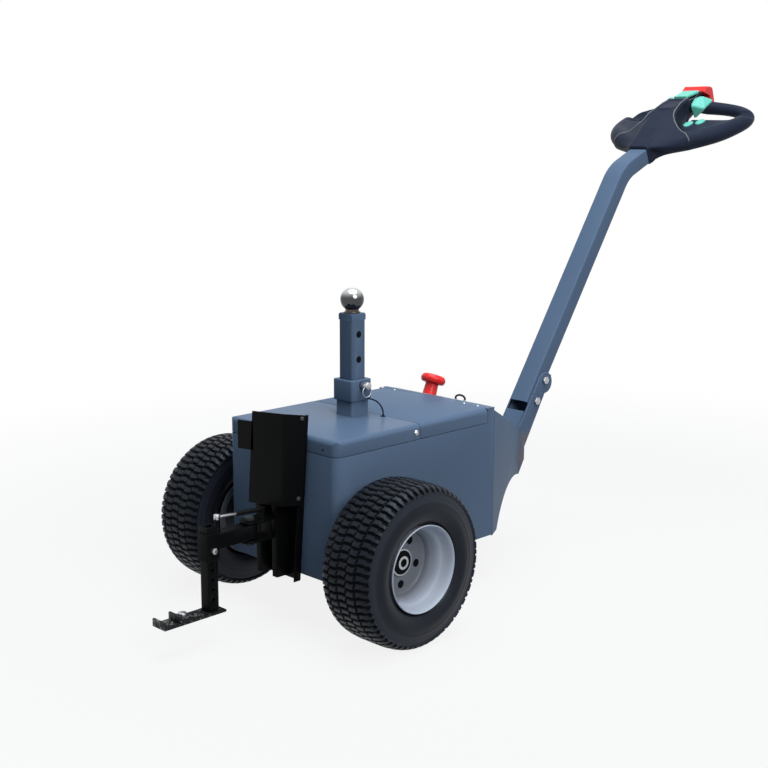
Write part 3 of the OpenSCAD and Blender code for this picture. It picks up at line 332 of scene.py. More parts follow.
def sweep(section, path, up, scale=1.0, closed=False):
    """Section points (sideways, upwards) carried along a path, square to its tangent and to up.

    An open path ends in a ring of no size, so that both ends are closed."""
    path = np.asarray(path, float)
    scale = np.broadcast_to(np.asarray(scale, float), len(path))
    if closed:
        tangent = np.roll(path, -1, 0) - np.roll(path, 1, 0)
    else:
        tangent = np.gradient(path, axis=0)
    tangent = unit(tangent)
    side = unit(np.cross(tangent, np.asarray(up, float)))
    rise = np.cross(side, tangent)
    if not closed:
        path, side, rise = (np.concatenate([a[:1], a, a[-1:]]) for a in (path, side, rise))
        scale = np.concatenate([[0.0], scale, [0.0]])
    section = np.asarray(section, float)
    flat = section[None, :, :1] * side[:, None] + section[None, :, 1:] * rise[:, None]
    points = path[:, None] + flat * scale[:, None, None]
    return points, grid_faces(len(path), len(section), wrap_rows=closed, wrap_columns=True)


def circle(radius, steps):
    """Round section."""
    angle = np.arange(steps) * 2 * math.pi / steps
    return radius * np.stack([np.cos(angle), np.sin(angle)], -1)


def ring_path(axis, radius, steps):
    """Points of a circle round an axis through the origin."""
    _, first, second = square_to(axis)
    return circle(radius, steps) @ np.stack([first, second])


def dome_patch(place, axis, radius, height):
    """Flat dome turned about its axis, its foot just below the surface.

    It is the head of a screw or rivet, or, when very low and dark, the mouth of a hole."""
    foot = -0.001
    corners = [(0, height), (radius * 0.55, height), (radius, height * 0.3), (radius, foot), (0, foot)]
    return lathe(rounded(corners, [radius * 0.3, height * 0.3, 0.0003], 4), place, axis, 32)


def smooth_path(points, steps):
    """Catmull-Rom curve through points of any width, with equal steps between neighbours."""
    points = np.asarray(points, float)
    padded = np.concatenate([points[:1], points, points[-1:]])
    t = (np.arange(steps) / steps)[None, :, None]
    a, b, c, d = (padded[k : len(points) - 1 + k, None] for k in range(4))
    curve = 0.5 * (2 * b + (c - a) * t + (2 * a - 5 * b + 4 * c - d) * t**2 + (3 * b - a - 3 * c + d) * t**3)
    return np.concatenate([curve.reshape(-1, points.shape[1]), points[-1:]])


def prism(outline, axis_origin, side, rise, along, thickness, edge):
    """Closed outline (side, rise) carried along a direction by a thickness, its two edges chamfered."""
    outline = np.asarray(outline, float)
    centre = outline.mean(0)
    reach = np.abs(outline - centre).max()
    inner = centre + (outline - centre) * (1 - edge / reach)
    flat = np.stack([centre + 0 * outline, inner, outline, outline, inner, centre + 0 * outline])
    depth = np.array([0, 0, edge, thickness - edge, thickness, thickness])[:, None, None]
    points = np.asarray(axis_origin) + flat[..., :1] * side + flat[..., 1:] * rise + depth * along
    return points, grid_faces(6, len(outline), wrap_columns=True)


def smoothstep(low, high, value):
    """Ramp from 0 at low to 1 at high with level ends."""
    t = np.clip((value - low) / (high - low), 0, 1)
    return t * t * (3 - 2 * t)


def soft_union(first, second, reach):
    """Lower of two distances with a fillet of about the given reach where they meet."""
    share = np.clip(0.5 + 0.5 * (second - first) / reach, 0, 1)
    return second + (first - second) * share - reach * share * (1 - share)


def skin(values, low, step):
    """Closed quads where a sampled field crosses zero.

    Each grid cell that the surface passes through holds one point, the mean of the crossings on its
    twelve edges, and each crossed grid edge holds one quad between the four cells round it."""
    inside = values < 0
    shape = np.array(values.shape) - 1
    total = np.zeros((*shape, 3))
    count = np.zeros(shape)
    for axis in range(3):
        others = [k for k in range(3) if k != axis]
        for u in (0, 1):
            for v in (0, 1):
                pick = [slice(None)] * 3
                pick[axis] = slice(0, -1)
                pick[others[0]] = slice(u, values.shape[others[0]] - 1 + u)
                pick[others[1]] = slice(v, values.shape[others[1]] - 1 + v)
                ahead = list(pick)
                ahead[axis] = slice(1, None)
                start, end = values[tuple(pick)], values[tuple(ahead)]
                crossed = inside[tuple(pick)] != inside[tuple(ahead)]
                share = np.where(crossed, start / np.where(crossed, start - end, 1), 0)
                total[..., axis] += np.where(crossed, share, 0)
                total[..., others[0]] += crossed * u
                total[..., others[1]] += crossed * v
                count += crossed
    used = count > 0
    number = np.full(shape, -1)
    number[used] = np.arange(int(used.sum()))
    cell = np.argwhere(used)
    points = np.asarray(low) + (cell + total[used] / count[used][:, None]) * step
    quads = []
    for axis in range(3):
        b, c = [(axis + 1) % 3, (axis + 2) % 3]
        pick = [slice(1, -1)] * 3
        pick[axis] = slice(0, -1)
        ahead = list(pick)
        ahead[axis] = slice(1, None)
        crossed = inside[tuple(pick)] != inside[tuple(ahead)]
        leaving = inside[tuple(pick)][crossed]
        place = np.argwhere(crossed)
        place[:, b] += 1
        place[:, c] += 1
        step_b, step_c = AXES[b].astype(int), AXES[c].astype(int)
        ring = [place - step_b - step_c, place - step_c, place, place - step_b]
        corners = np.stack([number[tuple(r.T)] for r in ring], -1)
        quads.append(np.where(leaving[:, None], corners, corners[:, ::-1]))
    return points, np.concatenate(quads)


# Materials


class Wire:
    """An output socket of a node tree, with arithmetic that adds Math nodes."""

    def __init__(self, tree, socket=None):
        self.tree = tree
        self.socket = socket

    def node(self, kind, settings=None, inputs=None, output=0):
        """Adds a node: its settings first, then the values or links of its sockets."""
        made = self.tree.nodes.new(kind)
        for key, value in (settings or {}).items():
            setattr(made, key, value)
        for key, value in (inputs or {}).items():
            if isinstance(value, Wire):
                self.tree.links.new(value.socket, made.inputs[key])
            else:
                made.inputs[key].default_value = value
        return Wire(self.tree, made.outputs[output] if made.outputs else None)

    def maths(self, operation, left, right):
        """Value of a Math node on two values or wires."""
        return self.node("ShaderNodeMath", {"operation": operation}, {0: left, 1: right})

    def __add__(self, other):
        return self.maths("ADD", self, other)

    def __sub__(self, other):
        return self.maths("SUBTRACT", self, other)

    def __rsub__(self, other):
        return self.maths("SUBTRACT", other, self)

    def __mul__(self, other):
        return self.maths("MULTIPLY", self, other)

    def between(self, low, high):
        """Ramp of this value from 0 at low to 1 at high with level ends."""
        settings = {"interpolation_type": "SMOOTHSTEP", "clamp": True}
        return self.node("ShaderNodeMapRange", settings, {"Value": self, "From Min": low, "From Max": high})

    def noise(self, scale, detail=3.0, roughness=0.55):
        """Cloudy value of these coordinates."""
        inputs = {"Vector": self, "Scale": scale, "Detail": detail, "Roughness": roughness}
        return self.node("ShaderNodeTexNoise", {}, inputs)

    def stretched(self, scale):
        """These coordinates, scaled along each axis."""
        return self.node("ShaderNodeMapping", {}, {"Vector": self, "Scale": scale})

    def part(self, axis):
        """One coordinate of a vector."""
        return self.node("ShaderNodeSeparateXYZ", {}, {"Vector": self}, axis)

    def mixed(self, first, second):
        """Colour between two colours by this value."""
        inputs = {0: self, 6: full(first), 7: full(second)}
        return self.node("ShaderNodeMix", {"data_type": "RGBA"}, inputs, 2)

    def bump(self, strength, distance):
        """Normal from this value as a height."""
        return self.node("ShaderNodeBump", {}, {"Height": self, "Strength": strength, "Distance": distance})


def full(tint):
    """Colour with an alpha of one, or a wire as it is."""
    return tint if isinstance(tint, Wire) else (*tuple(tint)[:3], 1.0)


def shade(tint, factor):
    """Colour times a factor."""
    return tuple(min(1.0, channel * factor) for channel in tuple(tint)[:3])


def finish(name):
    """Material of the given name and, only where it is new, the object coordinates to build it from."""
    material = bpy.data.materials.get(name)
    if material:
        return material, None
    material = bpy.data.materials.new(name)
    material.use_nodes = True
    return material, Wire(material.node_tree).node("ShaderNodeTexCoord", output="Object")


def connect(material, sockets):
    """Sets or links the main shader's sockets."""
    tree = material.node_tree
    shader = tree.nodes["Principled BSDF"]
    for key, value in sockets.items():
        if isinstance(value, Wire):
            tree.links.new(value.socket, shader.inputs[key])
        elif key in ("Base Color", "Specular Tint"):
            shader.inputs[key].default_value = full(value)
        else:
            shader.inputs[key].default_value = value
    return material


COOL_SHEEN = (0.72, 0.86, 1.0)
PAINT_SPREAD = (0.90, 1.10)
PAINT_PEEL_SCALE = 520.0
PAINT_GLOSS = 0.03


def spread(share, tint, low, high):
    """Tint between two factors of itself by a wire."""
    return share.mixed(shade(tint, low), shade(tint, high))


def coated(name, tint, roughness, peel, gloss, worn=0.0, bare=None):
    """Sprayed paint: cloudy tint, orange peel, faint rub marks and, where worn, bare metal in patches."""
    material, coords = finish(name)
    if coords is None:
        return material
    cloud = coords.noise(5.0, 4.0)
    speckle = coords.noise(140.0, 2.0)
    rub = coords.stretched((9.0, 60.0, 60.0)).noise(2.4, 5.0, 0.7).between(0.60, 0.78)
    tone = spread(cloud * 0.8 + speckle * 0.2, tint, *PAINT_SPREAD)
    rough = cloud * 0.10 + rub * 0.08 + (roughness - 0.06)
    height = coords.noise(PAINT_PEEL_SCALE, 1.5) * 0.7 + speckle * 0.3
    sockets = {
        "Base Color": tone,
        "Roughness": rough,
        "Normal": height.bump(peel, 0.0006),
        "Specular IOR Level": gloss,
    }
    if worn > 0:
        chips = coords.noise(85.0, 6.0, 0.72).between(0.70 - worn, 0.76 - worn)
        sockets["Base Color"] = chips.mixed(tone, bare)
        sockets["Metallic"] = chips * 0.75
        sockets["Roughness"] = rough + chips * 0.12
    return connect(material, sockets)


def body_paint():
    return coated("tug_paint", colours().paint, 0.36, 0.10, PAINT_GLOSS)


def scuffed_paint():
    """Body paint with a brownish rub mark down the console's tip."""
    material, coords = finish("tug_paint_scuffed")
    if coords is None:
        return material
    tip_low, tip_high = box("console")
    cloud = coords.noise(5.0, 4.0)
    streak = coords.stretched((160.0, 160.0, 26.0)).noise(1.0, 5.0, 0.7)
    near_tip = coords.part("X").between(tip_high[0] - 0.011, tip_high[0] - 0.003)
    below = coords.part("Z").between(tip_high[2] - 0.105, tip_high[2] - 0.135)
    above = coords.part("Z").between(tip_low[2] + 0.060, tip_low[2] + 0.100)
    mark = near_tip * below * above * streak.between(0.38, 0.62)
    tone = spread(cloud, colours().paint, *PAINT_SPREAD)
    sockets = {
        "Base Color": (mark * 0.8).mixed(tone, colours().stain),
        "Roughness": cloud * 0.10 + mark * 0.2 + 0.40,
        "Normal": coords.noise(PAINT_PEEL_SCALE, 1.5).bump(0.10, 0.0006),
        "Specular IOR Level": PAINT_GLOSS,
    }
    return connect(material, sockets)


def black_paint():
    return coated("tug_black_paint", colours().black, 0.42, 0.16, 0.035)


def worn_black():
    return coated("tug_worn_black", colours().black, 0.46, 0.2, 0.2, 0.16, shade(colours().zinc, 0.45))


RIM_SHADE_DEPTHS = (0.068, 0.028)


def lip_share(coords):
    """Share of the way out from a rim's disc to its lip, on either wheel."""
    lip = box("rim_left")[1][1]
    deep, shallow = RIM_SHADE_DEPTHS
    across = coords.part("Y")
    return across.between(lip - deep, lip - shallow) + across.between(-lip + deep, -lip + shallow)


def rim_paint():
    """Silver paint with fine flakes, darker towards the disc to stand in for the shade in the barrel."""
    material, coords = finish("tug_rim_paint")
    if coords is None:
        return material
    flakes = coords.noise(900.0, 1.0)
    cloud = coords.noise(14.0, 4.0)
    unshaded_tone = spread(cloud * 0.7 + flakes * 0.3, colours().rim, 1.15, 1.5)
    sockets = {
        # Painted shade: darker grey towards the disc, the full tone out at the lip.
        "Base Color": lip_share(coords).mixed(shade(colours().rim, 0.42), unshaded_tone),
        "Specular IOR Level": 0.2,
        "Roughness": cloud * 0.12 + 0.30,
        "Normal": flakes.bump(0.05, 0.0003),
    }
    return connect(material, sockets)


def tyre_rubber():
    """Rubber: darker in the grooves as painted shade, greyer with dust on the block faces, and lighter on the
    band below the shoulder as a painted sheen.
    """
    material, coords = finish("tug_tyre_rubber")
    if coords is None:
        return material
    relief, band = (
        coords.node("ShaderNodeAttribute", {"attribute_name": key}, output="Fac") for key in ("relief", "band")
    )
    dust = coords.noise(60.0, 5.0, 0.65)
    grain = coords.noise(700.0, 2.0)
    # Painted shade and dust: the grooves go dark, and the block faces go greyer by the dust noise.
    dust_and_groove_shade = relief * (dust * 0.7 + 0.3)
    block = spread(dust_and_groove_shade, colours().rubber, 0.25, 1.5)
    # Painted sheen: the band below the shoulder is mixed towards a lighter rubber.
    sockets = {
        "Base Color": (band * (dust * 0.5 + 0.6)).mixed(block, shade(colours().rubber, 2.6)),
        "Roughness": 0.74 - relief * 0.37 + dust * 0.08 - band * 0.12,
        "Specular Tint": COOL_SHEEN,
        "Normal": (grain * 0.6 + dust * 0.4).bump(0.16, 0.0008),
        "Specular IOR Level": 0.17,
    }
    return connect(material, sockets)


def moulded(name, tint, roughness=0.42, grain_strength=0.16, grain_scale=850.0, coat=0.0, gloss=0.20):
    """Moulded plastic or rubber: fine spark-eroded grain and a slightly uneven sheen."""
    material, coords = finish(name)
    if coords is None:
        return material
    cloud = coords.noise(16.0, 4.0)
    grain = coords.noise(grain_scale, 2.0)
    sockets = {
        "Base Color": spread(cloud * 0.75 + grain * 0.25, tint, 0.86, 1.14),
        "Roughness": cloud * 0.10 + grain * 0.06 + (roughness - 0.08),
        "Normal": grain.bump(grain_strength, 0.0005),
        "Coat Weight": coat,
        "Specular IOR Level": gloss,
        "Specular Tint": COOL_SHEEN,
    }
    return connect(material, sockets)


# Light grey for the raised seam on the black head, a painted highlight along it.
def seam_highlight_plastic():
    return moulded("tug_seam_painted_highlight", shade(colours().zinc, 0.30), 0.5, gloss=0.035)


def head_plastic():
    return moulded("tug_head_plastic", colours().plastic, 0.42, gloss=0.035)


def red_plastic():
    return moulded("tug_red_plastic", colours().red, 0.34, 0.05, 600.0, 0.15)


def green_plastic():
    return moulded("tug_green_plastic", colours().green, 0.38, 0.06, 600.0, 0.10)


def castor_rubber():
    return moulded("tug_castor_rubber", shade(colours().rubber, 1.2), 0.6, 0.2, 500.0)


def battery_plastic():
    return moulded("tug_battery_plastic", shade(colours().plastic, 0.7), 0.5, 0.2, 400.0)


def plated(name, tint, roughness, mottle):
    """Plated metal: mottled sheen with fine drawing marks."""
    material, coords = finish(name)
    if coords is None:
        return material
    cloud = coords.noise(70.0, 4.0)
    marks = coords.stretched((1.0, 1.0, 14.0)).noise(120.0, 3.0)
    sockets = {
        "Base Color": spread(cloud, tint, 1 - mottle, 1 + mottle * 0.5),
        "Metallic": 1.0,
        "Roughness": cloud * mottle * 0.6 + marks * mottle * 0.3 + roughness,
        "Normal": marks.bump(mottle * 0.2, 0.0004),
    }
    return connect(material, sockets)


def zinc():
    return plated("tug_zinc", colours().zinc, 0.24, 0.25)


def axle_steel():
    return plated("tug_axle_steel", shade(colours().zinc, 0.30), 0.34, 0.3)


def chrome():
    """Chrome, painted bright on the ball's crown and dark below it to stand in for what it reflects."""
    material, coords = finish("tug_chrome")
    if coords is None:
        return material
    low, high = box("tow_ball")
    cloud = coords.noise(45.0, 4.0)
    marks = coords.stretched((1.0, 1.0, 5.0)).noise(160.0, 3.0)
    height = coords.part("Z") + cloud * 0.010 - 0.005
    bright = height.between(high[2] - 0.020, high[2] - 0.003)
    rust = height.between(low[2] + 0.020, low[2] + 0.004) * marks
    # Painted reflection: bright on the crown, dark below it.
    painted_reflection = spread(bright, colours().chrome, 0.09, 0.85)
    sockets = {
        "Base Color": (rust * 0.6).mixed(painted_reflection, shade(colours().stain, 0.7)),
        "Metallic": 1.0,
        "Roughness": cloud * 0.05 + 0.06,
        "Normal": marks.bump(0.02, 0.0003),
    }
    return connect(material, sockets)


def cast_iron():
    return coated("tug_cast_iron", colours().iron, 0.6, 0.5, 0.2, 0.05, shade(colours().zinc, 0.4))


# Wheels


TREAD_SWAY = 0.14
SHOULDER_SHARE = 0.957
LUG_END_SHARE = 1.15
STEP_SHARE = 1.14
TREAD_END_SHARE = 1.19
STEPS_PER_PITCH = 10
TREAD_STEPS = 88
WALL_STEPS = 30
WALL_RING_SHARE, WALL_RING_WIDTH, WALL_RING_RISE = 0.80, 0.0011, 0.0009
BEAD_RING_SHARES, BEAD_RING_RISE = (0.600, 0.580), 0.0012
# Shares of the outer radius over which the painted sheen on the sidewall fades in.
SHEEN_BAND_SHARES = (0.795, 0.815)


def tyre_section(half_width, bead, outer):
    """Outer half-open section of a tyre by arc length from its crown.

    It is a superellipse, along = w * sin(a)^p and radius = middle + h * cos(a)^p with signs kept. The power p
    is 0.5 towards the tread, which squares the shoulders, and 0.72 towards the bead."""
    reach = math.radians(150)
    angle = np.linspace(-reach, reach, 4001)
    half_height = (outer - bead) / 2
    sine, cosine = np.sin(angle), np.cos(angle)
    power = np.where(cosine > 0, 0.5, 0.72)
    along = half_width * np.sign(sine) * np.abs(sine) ** power
    radius = outer - half_height + half_height * np.sign(cosine) * np.abs(cosine) ** power
    legs = np.hypot(np.diff(along), np.diff(radius))
    travel = np.concatenate([[0], np.cumsum(legs)])
    return along, radius, travel - travel[-1] / 2


def tread_relief(turn, run, shoulder, rows, pitch, groove):
    """Height from 0 in a groove to 1 on a block, by pitches round the tyre and the run from its crown.

    Cross grooves follow a flattened wave, TREAD_SWAY * tanh(2 cos(pi run / row)) / tanh(2), which steps
    at each border between rows; thin cuts part the rows; past the shoulder the lugs run on as blunt ribs."""
    row = 2 * shoulder / rows
    soft = 0.0006
    middle_run = run + 0.5 * row * ((rows + 1) % 2)
    beyond = smoothstep(0.88, 1.0, np.abs(run) / shoulder)
    sway = TREAD_SWAY * (1 - beyond) * np.tanh(2.0 * np.cos(math.pi * middle_run / row)) / math.tanh(2.0)
    place = turn + sway
    across = np.abs(place % 1 - 0.5) * pitch
    half_cut = groove / 2 * (1 + 0.45 * beyond)
    cross_cut = 1 - smoothstep(half_cut - soft, half_cut + soft, across)
    drift = 0.06 * row * np.sin(2 * math.pi * turn)
    beside = np.abs((middle_run + drift) / row % 1 - 0.5) * row
    row_cut = 1 - smoothstep(groove * 0.22, groove * 0.22 + 2 * soft, beside)
    row_cut = 0.8 * row_cut * (1 - smoothstep(0.86, 0.92, np.abs(run) / shoulder))
    lug_end = shoulder * (LUG_END_SHARE + 0.015 * np.sign(np.sin(math.pi * (place + 0.5))))
    fade = 1 - smoothstep(lug_end - 0.003, lug_end, np.abs(run))
    return 1 - np.maximum(cross_cut, row_cut) * fade


def tyre_patch(side):
    """Tyre as a closed grid of turn and section, the section less the tread's relief along its normal.

    Its relief and its band below the shoulder, where the rubber paints a sheen, come along as attributes for
    the rubber."""
    node = "tyre_left" if side > 0 else "tyre_right"
    low, high = box(node)
    outer = (high[2] - low[2]) / 2
    half_width = sizes().tyre_width / 2
    along, radius, travel = tyre_section(half_width, sizes().bead, outer)
    crown = len(travel) // 2
    shoulder = float(np.interp(SHOULDER_SHARE * outer, radius[crown:][::-1], travel[crown:][::-1]))
    lug_run = shoulder * TREAD_END_SHARE
    wall = np.linspace(lug_run, travel[-1], WALL_STEPS)[1:]
    run = np.concatenate([-wall[::-1], np.linspace(-lug_run, lug_run, TREAD_STEPS), wall])
    place, reach = np.interp(run, travel, along), np.interp(run, travel, radius)
    slope = np.gradient(place, run), np.gradient(reach, run)
    normal = unit(np.stack([-slope[1], slope[0]], -1))
    turns = sizes().tread_pitches * STEPS_PER_PITCH
    turn = np.arange(turns)[:, None] * sizes().tread_pitches / turns
    pitch = 2 * math.pi * outer / sizes().tread_pitches
    relief = tread_relief(turn, run[None], shoulder, sizes().tread_rows, pitch, sizes().groove)
    rings = WALL_RING_RISE * np.exp(-(((reach - WALL_RING_SHARE * outer) / WALL_RING_WIDTH) ** 2))
    ring_start, ring_end = (share * outer for share in BEAD_RING_SHARES)
    rings = rings + BEAD_RING_RISE * smoothstep(ring_start, ring_end, reach)
    past = np.abs(run) - shoulder * STEP_SHARE
    step = sizes().wall_step * smoothstep(0, 0.003, past) * (1 - smoothstep(0.012, 0.040, past))
    lift = (rings * (np.abs(run) > lug_run) - step)[None] - (1 - relief) * sizes().tread_depth
    around = turn * 2 * math.pi / sizes().tread_pitches
    distance = reach + lift * normal[:, 1]
    offset = (place + lift * normal[:, 0]) * side
    ring = np.stack([distance * np.cos(around), offset + 0 * around, distance * np.sin(around)], -1)
    faces = grid_faces(turns, len(run), wrap_rows=True, wrap_columns=True)
    # Band of the painted sheen: past the shoulder step and out from the sheen radii.
    sheen_band_start, sheen_band_end = (share * outer for share in SHEEN_BAND_SHARES)
    band = smoothstep(0, 0.004, past) * smoothstep(sheen_band_start, sheen_band_end, reach)
    return (middle(node) + ring, faces), {"relief": relief, "band": band + 0 * relief}


class TUG_OT_tyres(bpy.types.Operator):
    """Builds both tyres with their staggered block tread"""

    bl_idname = "tug.tyres"
    bl_label = "Tyres"

    def execute(self, context):
        for side, name in ((1, "left"), (-1, "right")):
            patch, attributes = tyre_patch(side)
            build(
                f"tyre_{name}_tread", [patch], f"wheel_{name}", tyre_rubber(),
                (f"tyre_{name}",), 45, attributes,
            )
        return {"FINISHED"}


RIM_PROFILE = [
    (0, 63), (27, 63), (27.3, 65), (56, 65), (62, 64), (65.5, 61), (67, 55), (70, 47.5), (71.5, 45), (72.5, 34),
    (77, 26.5), (79, 24), (80.5, 13), (83, 6), (84.6, 1.5), (86.2, 0), (87.5, 1.2), (87.5, 3), (86, 4.5),
    (83.5, 14), (82, 25), (79, 30), (75.5, 36), (74.5, 47), (71, 55), (70, 72), (70, 108), (74, 116),
    (86, 120), (87.5, 122), (87.5, 124), (84, 123.5), (70, 119), (66.5, 110), (66.5, 76), (62, 70), (0, 70),
]
RIM_HUB = [(0, 58), (6, 58), (6.5, 56.5), (13, 56.5), (14, 58), (20, 59), (26, 60.5), (26.5, 63.5), (0, 63.5)]
RIM_HUB_RINGS = [
    [(24.2, 59.8), (26.8, 59.8), (26.8, 61.5), (24.2, 61.5), (24.2, 59.8)],
    [(8.4, 55.8), (13.4, 55.8), (13.4, 57.5), (8.4, 57.5), (8.4, 55.8)],
]
RIM_MILLIMETRES = np.array((0.001, -0.001))
RIM_HOLES = 5
RIM_HOLE_CIRCLE = 0.046
RIM_HOLE_TURN = math.radians(56)
RIM_HOLE_RADIUS = 0.0084
RIM_HOLE_DEPTH = 0.0652
HUB_CAP_RADIUS = 0.006
HUB_CAP_DEPTH = 0.0579
AXLE_REACH = 0.259
FAR = 9


class TUG_OT_rims(bpy.types.Operator):
    """Spins both rims with their hubs and lug holes shown as dark discs of painted shade, and finishes the axle
    and the bearing housings
    """

    bl_idname = "tug.rims"
    bl_label = "Rims"

    def execute(self, context):
        turn = RIM_HOLE_TURN + np.arange(RIM_HOLES) * 2 * math.pi / RIM_HOLES
        circle_places = RIM_HOLE_CIRCLE * np.stack([np.cos(turn), 0 * turn, np.sin(turn)], -1)
        for side, name in ((1, "left"), (-1, "right")):
            wheel = f"wheel_{name}"
            face = middle(f"rim_{name}")
            face[1] = box(f"rim_{name}")[1 if side > 0 else 0][1]
            outward = side * AXES[1]

            def spun(profile, turns):
                return lathe(profile * RIM_MILLIMETRES, face, outward, turns)

            rim = spun(RIM_PROFILE, 96)
            build(f"rim_{name}_spun", [rim], wheel, rim_paint(), (f"rim_{name}",), 35)
            # Painted shade: very low black domes, named bolts, stand for the shade inside the lug holes.
            places = face - RIM_HOLE_DEPTH * outward + circle_places
            holes = [dome_patch(place, outward, RIM_HOLE_RADIUS, 0.0006) for place in places]
            build(f"rim_{name}_bolts", holes, wheel, black_paint())
            cap = dome_patch(face - HUB_CAP_DEPTH * outward, outward, HUB_CAP_RADIUS, 0.0005)
            build(f"rim_{name}_hub", [spun(RIM_HUB, 64), cap], wheel, black_paint(), (), 35)
            rings = [spun(ring, 64) for ring in RIM_HUB_RINGS]
            build(f"rim_{name}_hub_rings", rings, wheel, zinc(), (), 35)
        axle = dress("axle_shaft", axle_steel(), sizes().block_edge)
        room = np.array((FAR, AXLE_REACH, FAR))
        reshape(axle, lambda places: np.clip(places, -room, room))
        dress("bearing_housings", cast_iron(), sizes().block_edge)
        return {"FINISHED"}


# Body


class TUG_OT_body(bpy.types.Operator):
    """Finishes the sheet metal body, covers, console and tiller channel"""

    bl_idname = "tug.body"
    bl_label = "Body"

    def execute(self, context):
        for node in ("body_tub", "front_cover", "rear_lid"):
            dress(node, body_paint(), sizes().edge, 3, True)
        for node in ("console", "tiller_channel"):
            dress(node, scuffed_paint(), sizes().edge, 3)
        dress("hinge_rod", zinc(), sizes().block_edge)
        return {"FINISHED"}


# Tiller


LOWER_SLOPE = math.radians(55.8)
UPPER_SLOPE = math.radians(23.4)
TUBE_WIDTH = 0.052
TUBE_DEPTH = 0.041


def slope_axes(angle):
    """Unit vectors along a slope in the middle plane and square to it, towards the tube's back."""
    along = np.array([math.cos(angle), 0, math.sin(angle)])
    return along, np.array([along[2], 0, -along[0]])


def tube_ends():
    """Front corner of the tube's foot, of its bend and of its end at the head."""
    low, high = box("tiller_tube")
    lower, _ = slope_axes(LOWER_SLOPE)
    upper, _ = slope_axes(UPPER_SLOPE)
    foot = np.array([low[0], 0, low[2] + TUBE_DEPTH * lower[0]])
    head = np.array([high[0] - TUBE_DEPTH * upper[2], 0, high[2]])
    gap = head - foot
    reach = (gap[0] * upper[2] - gap[2] * upper[0]) / (lower[0] * upper[2] - lower[2] * upper[0])
    return foot, foot + reach * lower, head


def tube_patch():
    """Rounded rectangle swept up the tiller's outside and back down its inside, as one closed skin."""
    foot, corner, head = tube_ends()
    lower, lower_back = slope_axes(LOWER_SLOPE)
    _, upper_back = slope_axes(UPPER_SLOPE)
    half = TUBE_DEPTH / 2
    turn = LOWER_SLOPE - UPPER_SLOPE
    middle_corner = corner + half * lower_back - half * math.tan(turn / 2) * lower
    points = [foot + half * lower_back, middle_corner, head + half * upper_back]
    path = rounded(points, [sizes().bend_radius - half], 24)
    tangent = np.gradient(path, axis=0)
    tangent[0], tangent[-1] = lower, slope_axes(UPPER_SLOPE)[0]
    tangent = unit(tangent)
    back = np.stack([tangent[:, 2], 0 * tangent[:, 0], -tangent[:, 0]], -1)
    wall = sizes().tube_wall
    outside = rectangle(TUBE_WIDTH, TUBE_DEPTH, sizes().tube_corner, 6)
    inside = rectangle(TUBE_WIDTH - 2 * wall, TUBE_DEPTH - 2 * wall, sizes().tube_corner / 2, 6)
    outer, inner = (
        path[:, None] + section[None, :, :1] * AXES[1] + section[None, :, 1:] * back[:, None]
        for section in (outside, inside)
    )
    points = np.concatenate([outer, inner[::-1]])
    return points, grid_faces(len(points), len(outside), wrap_rows=True, wrap_columns=True)


class TUG_OT_tiller(bpy.types.Operator):
    """Builds the bent tiller tube and finishes its bolts"""

    bl_idname = "tug.tiller"
    bl_label = "Tiller"

    def execute(self, context):
        build("tiller_tube_bent", [tube_patch()], "chassis", body_paint(), ("tiller_tube",), 30)
        dress("tiller_bolts", zinc(), sizes().block_edge)
        return {"FINISHED"}


# Tiller head


HEAD_HALF_WIDTH = 0.194
BAR = 0.036
SPINE_TOP_SHARES = [(0.0, 0.06), (0.17, 0.36), (0.385, 0.67), (0.565, 0.795), (0.79, 0.925), (0.92, 0.84)]
SPINE_LOW_SHARES = [(0.07, -0.165), (0.255, 0.0), (0.47, 0.22), (0.63, 0.40), (0.79, 0.55), (0.90, 0.60)]
SPINE_TOP_WIDTH_SHARES = [0.134, 0.140, 0.150, 0.146, 0.135, 0.128]
SPINE_LOW_WIDTH_SHARES = [0.134, 0.208, 0.217, 0.147, 0.147, 0.139]
SPINE_EDGE = 0.0035
LOOP_SHARES = [
    (0.13, 0.087, 0.00, 0.54), (0.215, 0.433, 0.095, 0.62), (0.32, 0.65, 0.18, 0.66), (0.45, 0.797, 0.26, 0.64),
    (0.60, 0.885, 0.355, 0.59), (0.735, 0.905, 0.44, 0.55), (0.84, 0.84, 0.505, 0.49),
    (0.905, 0.675, 0.575, 0.46), (0.925, 0.45, 0.625, 0.46), (0.895, 0.173, 0.66, 0.50),
]
WING_SHARES = [(0.23, 0.225, 0.12), (0.25, 0.52, 0.15), (0.58, 0.745, 0.39), (0.575, 0.26, 0.40)]
WING_RADIUS = 0.0105
PANEL_EDGE_SHARES = [
    (0.01, 0.128, 0.05), (0.095, 0.130, 0.20), (0.18, 0.133, 0.35), (0.285, 0.138, 0.50), (0.385, 0.142, 0.645),
    (0.475, 0.143, 0.715), (0.565, 0.142, 0.775),
]
SEAM_SHARES = [
    (0.21, 0.57, 0.084), (0.238, 0.45, 0.24), (0.255, 0.34, 0.345), (0.29, 0.25, 0.45), (0.326, 0.20, 0.555),
    (0.41, 0.16, 0.645), (0.515, 0.13, 0.72), (0.629, 0.12, 0.804), (0.752, 0.12, 0.886), (0.86, 0.12, 0.928),
]
SEAM_RADIUS = 0.0016
FLANK_RADIUS = 0.006
FLANK_NORMAL = np.array((-0.60, 0.436, 0.669))
POCKET = 0.005
FLANK_FILLET = 0.004
WING_FILLET = 0.012
BAR_FILLET = 0.014
HEEL_FILLET = 0.008
HEEL_RADIUS = 0.006
HEEL_RUN, HEEL_DEPTH_SHARE, HEEL_INSET = 0.012, 0.85, 0.005
SLEEVE_LENGTH = 0.026
SLEEVE_WALL = 0.002
SLEEVE_EDGE = 0.004
RECESS_CENTRE_SHARES = (0.735, 0, 0.665)
RECESS_RADIUS = 0.032
RECESS_HALF_WIDTH = 0.037


